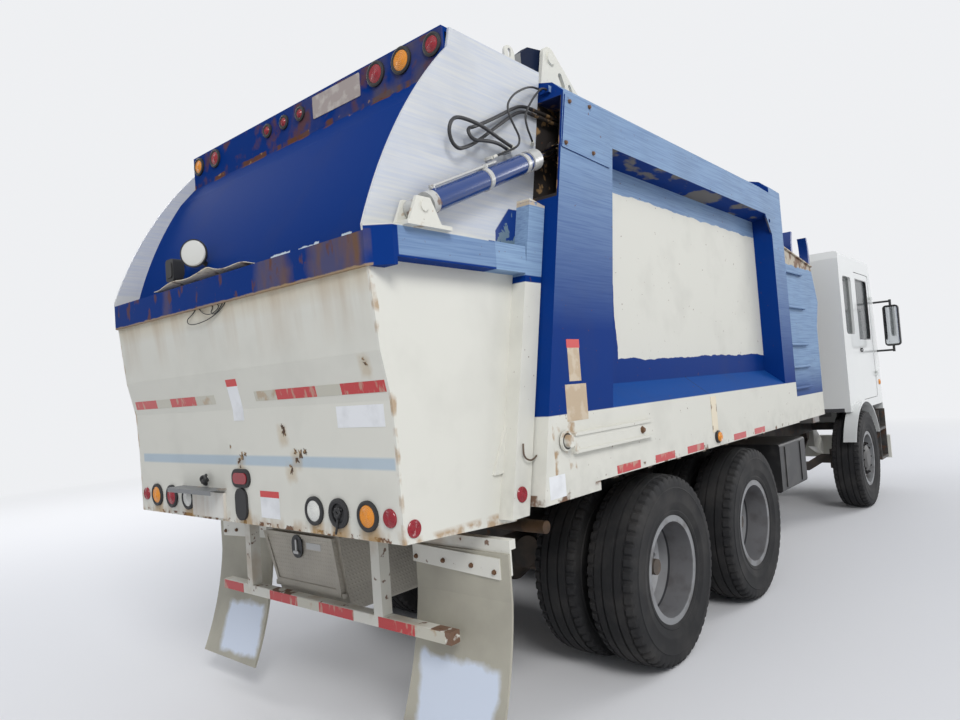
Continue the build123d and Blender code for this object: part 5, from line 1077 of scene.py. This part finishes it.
tape_red = Paint("tape_red", TAPE_RED, 0.35, coat=0.3)
tape_red.speckle((0.45, 0.30, 0.22), 16.0, 0.56, 0.62, 0.7, stretch=(1, 2, 0.6))
tape_white = Paint("tape_white", (0.50, 0.48, 0.40), 0.4, coat=0.2)
tape_white.speckle(TAN_RUST, 12.0, 0.58, 0.66, 0.6)
TAPE_Z = (1.624, 1.668)
RED_TAPE = ((1.035, 0.777), (0.616, 0.351), (-0.356, -0.640), (-0.801, -1.060))
WHITE_TAPE = ((0.777, 0.616), (0.351, 0.165), (-0.186, -0.356), (-0.640, -0.801))
GUARD_RED = ((0.905, 0.700), (0.432, 0.178), (-0.007, -0.277), (-0.458, -0.699))
GUARD_WHITE = ((0.178, -0.007), (-0.699, -0.880))
SIDE_TAPE = ((-2.706, -2.463), (-2.289, -2.050), (-1.877, -1.641), (-1.141, -0.916),
             (-0.743, -0.529))
piece("gate_tape_red", "tailgate", tape_red, "body_white", *(back_sheet(y, TAPE_Z) for y in RED_TAPE))
piece("gate_tape_white", "tailgate", tape_white, "body_white",
      *(back_sheet(y, TAPE_Z) for y in WHITE_TAPE))
for colour, paint, row in (("red", tape_red, GUARD_RED), ("white", tape_white, GUARD_WHITE)):
    piece(f"guard_tape_{colour}", "chassis", paint, "body_white",
          *(brick((-3.6515, a, 0.548), (-3.6500, b, 0.597)) for a, b in row))
skirt_tape = [half for x in SIDE_TAPE for half in side_sheet(x, (1.136, 1.177), THIN)]
piece("skirt_tape", "chassis", tape_red, "body_blue", *skirt_tape)

# %% [markdown]
# The stickers and the plate on the upper strip are left blank, and each is a bare sheet of
# its own colour, some with a red head. A sheet has a wall of about a millimetre, because a
# single layer of faces would have no back and would flicker in the surface below it.

# %% Blank labels
label_white = Paint("label_white", (0.74, 0.75, 0.76), 0.4)
label_white.speckle(GRIME, 9.0, 0.50, 0.8, 0.25)
label_tan = Paint("label_tan", (0.47, 0.36, 0.24), 0.5)
label_tan.speckle((0.60, 0.52, 0.40), 14.0, 0.5, 0.6, 0.6)
label_red = Paint("label_red", (0.55, 0.05, 0.05), 0.45)
piece("blank_labels_gate", "tailgate", label_white, "body_white",
      back_sheet((-0.745, -1.027), (1.495, 1.580)), back_sheet((-0.142, -0.290), (1.100, 1.192)),
      back_sheet((0.028, -0.062), (1.540, 1.700)))
piece("label_heads_gate", "tailgate", label_red, "body_white",
      back_sheet((-0.142, -0.290), (1.192, 1.220)), back_sheet((0.028, -0.062), (1.700, 1.733)))
piece("blank_labels_post", "chassis", label_tan, "body_blue",
      *side_sheet((-3.074, -2.975), (1.612, 1.766)), *side_sheet((-3.115, -2.937), (1.430, 1.598)))
piece("label_heads_post", "chassis", label_red, "body_blue",
      *side_sheet((-3.078, -2.970), (1.766, 1.806)))
piece("blank_label_skirt", "chassis", label_white, "body_blue",
      *side_sheet((-3.292, -3.168), (1.106, 1.205)))

plate_grey = Paint("plate_grey", (0.34, 0.29, 0.27), 0.5, metallic=0.3)
plate_grey.speckle((0.50, 0.46, 0.42), 16.0, 0.5, 0.62, 0.7)
piece("blank_plate", "tailgate", plate_grey, "body_blue",
      back_slab(rounded(0.368, 0.112, 0.006, 3), (STRIP_X, -0.347, 3.079), 0.003))

# %% [markdown]
# A round work lamp stands on the beam, turned to the right, with a black box beside it. The
# cup and its foot are turned profiles, and the lens reuses the shallow dome of the other
# lamps along the cup's own axis.

# %% Work lamp and box
WORK_LAMP = np.array([-4.020, 0.335, 2.388])
work_axis = np.array([-0.83, -0.55, -0.02])
lamp_cup = ((-0.040, 0.030), (-0.034, 0.052), (0.004, 0.072), (0.012, 0.072), (0.012, 0.064))
piece("work_lamp_cup", "tailgate", grommet, "lamp_lens", turned(lamp_cup, WORK_LAMP, work_axis),
      turned(((0, 0.012), (0.09, 0.012)), WORK_LAMP + (0.02, 0, -0.02), (0.80, 0, -0.60), 10))
piece("work_lamp_lens", "tailgate", lens_white, "lamp_lens",
      lens(WORK_LAMP + 0.009 * work_axis, 0.065, 0.010, work_axis))
piece("junction_box", "tailgate", grommet, "lamp_lens",
      back_slab(rounded(0.086, 0.118, 0.018), (-3.965, 0.600, 2.345), 0.060),
      back_slab(rounded(0.060, 0.080, 0.012), (-4.0245, 0.600, 2.345), 0.006))

# %% [markdown]
# The tan shelf on the beam has been hit, and its rear edge curls up. A box could not bend, so
# it is a grid whose height is a sine along the shelf, growing towards that edge. The shelf
# over the number plate's place is straight, so bricks are enough for it.

# %% Shelves
def bent_shelf():
    """Sheet on the beam: Z = beam top + an upward curl that is highest amid its length."""
    left, right = 0.600, -0.290
    y = np.linspace(left, right, 34)[:, None]
    across = np.linspace(0, 1, 9)[None, :]
    x = -3.990 - 0.122 * across + 0 * y
    span = np.clip((left - y) / (left - right), 0, 1)
    curl = 0.024 * np.sin(np.pi * span) ** 0.8 + 0.007 * np.sin(19.0 * y)
    curl += 0.010 * np.exp(-((y - 0.05) / 0.05) ** 2)
    z = 2.222 + np.maximum(curl, 0.0) * across**1.5 + 0.004
    return np.stack(np.broadcast_arrays(x, y, z), -1)


tan_steel = Paint("tan_steel", (0.72, 0.64, 0.49), 0.6)
tan_steel.speckle(RUST, 14.0, 0.58, 0.64, 0.7)
piece("bent_shelf", "tailgate", tan_steel, "body_blue", sheet_of(bent_shelf(), 0.003, (0, 0, -1)))
stained_white = Paint("stained_white", (0.66, 0.65, 0.60), 0.4)
stained_white.speckle(TAN_RUST, 9.0, 0.42, 0.66, 0.55, stretch=(1, 1, 0.15))
piece("plate_backing", "tailgate", stained_white, "body_white",
      brick((-4.034, 0.165, 1.075), (-4.0215, 0.470, 1.196)))
shelf_grey = Paint("shelf_grey", (0.20, 0.205, 0.21), 0.5, metallic=0.3)
shelf_grey.speckle(TAN_RUST, 12.0, 0.55, 0.66, 0.5)
piece("plate_shelf", "tailgate", shelf_grey, "body_white",
      brick((-4.108, 0.150, 1.214), (-4.0215, 0.580, 1.217)),
      brick((-4.108, 0.150, 1.196), (-4.105, 0.580, 1.214)))

# %% [markdown]
# Three thin wires hang below the beam, loose wires stick out at the broken lamp and above the
# plate shelf, and a bent wire hook hangs at each side plate. All are tubes along a smooth
# curve. A clump's path is a list of small steps about one spot.

# %% Wires and hooks
wire_paint = Paint("wire_black", (0.014, 0.014, 0.015), 0.5)
WIRES = (
    ((-4.108, 0.190, 2.079), (-4.111, 0.215, 2.060), (-4.112, 0.270, 2.042), (-4.112, 0.260, 2.018),
     (-4.111, 0.190, 2.010), (-4.111, 0.100, 2.016), (-4.112, 0.020, 2.030), (-4.111, -0.050, 2.052),
     (-4.108, -0.085, 2.079)),
    ((-4.108, 0.150, 2.079), (-4.113, 0.120, 2.058), (-4.114, 0.060, 2.040), (-4.114, 0.000, 2.046),
     (-4.112, -0.040, 2.066), (-4.108, -0.020, 2.079)),
    ((-4.108, -0.060, 2.079), (-4.112, -0.040, 2.055), (-4.113, 0.010, 2.036), (-4.113, 0.040, 2.048),
     (-4.112, 0.020, 2.066), (-4.108, 0.030, 2.079)),
)
piece("gate_wires", "tailgate", wire_paint, "hose_rubber",
      *(tube(smooth_run("wire", points), 0.0022, 8) for points in WIRES))
LUMP = ((-0.2, 0.0), (0.3, 0.9), (0.9, 0.2), (0.5, -0.8), (-0.6, -0.5), (-0.9, 0.5), (0.0, 1.0),
        (0.7, 0.3), (0.2, -0.6), (-0.5, 0.1))
lump_run = [(-4.040 - 0.012 * (n % 3), 0.300 + 0.026 * a, 1.255 + 0.030 * b)
            for n, (a, b) in enumerate(LUMP)]
CLUMP_DEPTHS = (0.2, 1, 1.6, 1, 1.8, 1, 1.4, 0.6, 1.2, 0.3)
LAMP_TAIL = ((-4.030, -0.705, 1.140), (-4.040, -0.712, 1.110), (-4.036, -0.700, 1.085),
             (-4.032, -0.690, 1.074))
turns = [2.4 * n for n in range(len(CLUMP_DEPTHS))]
clump_run = [(-4.026 - 0.006 * depth, -0.710 + 0.030 * np.cos(t), 1.158 + 0.034 * np.sin(t))
             for t, depth in zip(turns, CLUMP_DEPTHS)]
clumps = (("lump", lump_run, 0.0075), ("clump", clump_run, 0.006), ("tail", LAMP_TAIL, 0.005))
piece("broken_lamp_wires", "tailgate", wire_paint, "hose_rubber",
      *(tube(smooth_run(name, run), radius, 8) for name, run, radius in clumps))
HOOK = ((-3.375, 1.158, 1.36), (-3.385, 1.163, 1.33), (-3.383, 1.165, 1.305),
        (-3.36, 1.167, 1.288), (-3.325, 1.167, 1.284), (-3.295, 1.165, 1.300))
bare_iron = Paint("bare_iron", (0.12, 0.085, 0.06), 0.6, metallic=0.4)
piece("hook_wire", "tailgate", bare_iron, "body_white",
      *both_sides(tube(smooth_run("hook", HOOK), 0.004)))

# %% [markdown]
# Chips in the lower back's paint are small torn spots of bare, rusty steel. Each is a flat
# star of uneven rays, and a group of them lies where the photograph shows one. The rays come
# from a numbered random series, so the chips are the same on every run.

# %% Paint chips
CHIP_RAYS = 15


def chip(y, z, size, seed):
    """Radius = size * (0.4 + 1.1 * random squared) at each angle, flat on the lower back."""
    rng = np.random.default_rng(seed)
    t = np.linspace(0, 2 * np.pi, CHIP_RAYS, endpoint=False)
    r = size * (0.40 + 1.10 * rng.random(CHIP_RAYS) ** 2)
    yy, zz = y + 0.8 * r * np.cos(t), z + r * np.sin(t)
    x = np.interp(zz, *BACK_LINE.T) - 0.0005
    outer = np.stack([x, yy, zz], -1)
    count = len(t)
    index = np.arange(count)
    raised = outer + (-0.0008, 0, 0)
    walls = np.stack([index, index + count, np.roll(index, -1) + count, np.roll(index, -1)], -1)
    caps = [index.tolist(), (index + count)[::-1].tolist()]
    return np.vstack([outer, raised]), walls.tolist() + caps


# Each chip: Y, Z and size
CHIPS = (
    (-0.367, 1.484, 0.020), (-0.360, 1.505, 0.013), (-0.476, 1.386, 0.026), (-0.440, 1.398, 0.018),
    (-0.510, 1.400, 0.014), (-0.450, 1.365, 0.016), (-0.404, 1.317, 0.016), (-0.395, 1.335, 0.010),
    (-0.014, 1.368, 0.024), (0.015, 1.350, 0.015), (-0.040, 1.385, 0.012), (0.010, 1.325, 0.009),
    (-0.979, 1.734, 0.012), (-0.972, 1.752, 0.007), (0.084, 1.418, 0.009),
)
rust_chip = Paint("rust_chip", (0.075, 0.042, 0.024), 0.8)
rust_chip.speckle((0.34, 0.23, 0.12), 45.0, 0.50, 0.58, 0.8)
piece("paint_chips", "tailgate", rust_chip, "body_white",
      *(chip(y, z, size, number) for number, (y, z, size) in enumerate(CHIPS)))

# %% [markdown]
# Rusty bolts sit on the post, the skirt and the flap plates, each a washer and a six-sided
# head turned in one profile. The flaps hang from white plates, and a marker lamp sits on the
# skirt below a tan strap. Both sides of the truck have them, so each has its mirror image.

# %% Bolts, flap plates and side markers
BOLT = ((0.0, 0.020), (0.004, 0.020), (0.004, 0.013), (0.014, 0.013), (0.016, 0.010))
SMALL_BOLT = ((0.0, 0.012), (0.003, 0.012), (0.003, 0.009), (0.010, 0.009), (0.011, 0.007))
rusty_bolt = Paint("rusty_bolt", (0.16, 0.085, 0.045), 0.7, metallic=0.3)
POST_BOLTS = ((-2.715, 2.981), (-2.960, 2.745), (-2.711, 2.745), (-2.900, 2.960))
FLAP_BOLTS = ((0.612, 0.862), (0.782, 0.860), (0.949, 0.857), (1.076, 0.842))
bolts = [turned(SMALL_BOLT, (x, 1.226, z), OUTWARDS, 6) for x, z in POST_BOLTS]
bolts.append(turned(BOLT, (-2.45, 1.2385, 1.331), OUTWARDS, 6))
bolts += [turned(SMALL_BOLT, (-3.5300, y, z), BACKWARDS, 6) for y, z in FLAP_BOLTS]
piece("rusty_bolts", "chassis", rusty_bolt, "body_blue", *both_sides(*bolts))
FLAP_PLATE = ((0.590, 0.838), (1.105, 0.812), (1.105, 0.900), (0.590, 0.919))
flap_outline = [(-y, z) for y, z in FLAP_PLATE[::-1]]
piece("flap_plates", "chassis", bare_white, "body_white",
      *both_sides(back_slab(flap_outline, (-3.5222, 0, 0), 0.0078)))

piece("marker_strap", "chassis", tan_steel, "body_blue",
      *side_sheet((-1.485, -1.400), (1.222, 1.448), 0.0030))
MARKER_X, MARKER_Z = -1.420, 1.190
marker_cup = ((0, 0.040), (0.012, 0.040), (0.016, 0.034))
piece("side_marker_ring", "chassis", grommet, "lamp_lens",
      *both_sides(turned(marker_cup, (MARKER_X, BODY_Y, MARKER_Z), OUTWARDS)))
piece("side_marker_lens", "chassis", lens_amber, "lamp_lens",
      *both_sides(lens((MARKER_X, BODY_Y + 0.0155, MARKER_Z), 0.031, 0.008, OUTWARDS)))

# %% [markdown]
# The photograph shows little of the cab's front, so its small parts follow the type:
# round headlamps in bright rings, fog lamps, clearance lamps along the roof, an indicator
# on each corner, two wipers resting at the foot of the windscreen, and the mirror glass.

# %% Fittings on the cab
bright_ring = Paint("bright_ring", (0.60, 0.60, 0.61), 0.2, metallic=0.9)
mirror_glass = Paint("mirror_glass", (0.62, 0.64, 0.66), 0.04, metallic=1.0)
HEADLAMPS = ((4.0542, 0.808, 0.920), (4.0542, 0.972, 0.920))
piece("headlamp_lenses", "cab", lens_white, "lamp_lens",
      *both_sides(*(lens(place, 0.060, 0.014, FORWARDS) for place in HEADLAMPS)))
piece("headlamp_rings", "cab", bright_ring, "lamp_lens",
      *both_sides(*(ring(place, 0.068, 0.059, 0.008, FORWARDS) for place in HEADLAMPS)))
FOG_LAMP = (4.1002, 0.820, 0.520)
piece("fog_lamp_lenses", "chassis", lens_white, "lamp_lens",
      *both_sides(lens(FOG_LAMP, 0.050, 0.008, FORWARDS)))
middle, *outer = (lens((3.790, y, 2.8002), 0.032, 0.022, UPWARDS) for y in (0.0, 0.16, 0.92))
indicator = lens((3.940, 1.1502, 1.320), 0.034, 0.010, OUTWARDS)
piece("cab_amber_lamps", "cab", lens_amber, "lamp_lens",
      *both_sides(*outer), middle, *both_sides(indicator))
piece("mirror_glass", "cab", mirror_glass, "black_plastic",
      *both_sides(back_slab(rounded(0.140, 0.450, 0.018), (3.9597, 1.335, 2.000), 0.002)))


def on_screen(y, z, stand_off):
    """Point at a height on the windscreen: X = foot + slope * height gained, plus a stand-off."""
    slope = (SCREEN_HEAD[0] - SCREEN_FOOT[0]) / (SCREEN_HEAD[1] - SCREEN_FOOT[1])
    return SCREEN_FOOT[0] + slope * (z - SCREEN_FOOT[1]) + stand_off, y, z


wipers = []
for pivot_y in (0.80, -0.12):
    arm = [on_screen(pivot_y - reach, z, lift)
           for reach, z, lift in ((0.0, 1.520, 0.016), (0.22, 1.575, 0.028), (0.44, 1.610, 0.022))]
    blade = [on_screen(pivot_y - 0.16, 1.548, 0.011), on_screen(pivot_y - 0.72, 1.668, 0.011)]
    hub = turned(((0, 0.016), (0.020, 0.012)), on_screen(pivot_y, 1.520, 0.0), FORWARDS, 12)
    wipers += [tube(arm, 0.007, 8), tube(blade, 0.008, 8), hub]
piece("wipers", "cab", wire_paint, "black_plastic", *wipers)
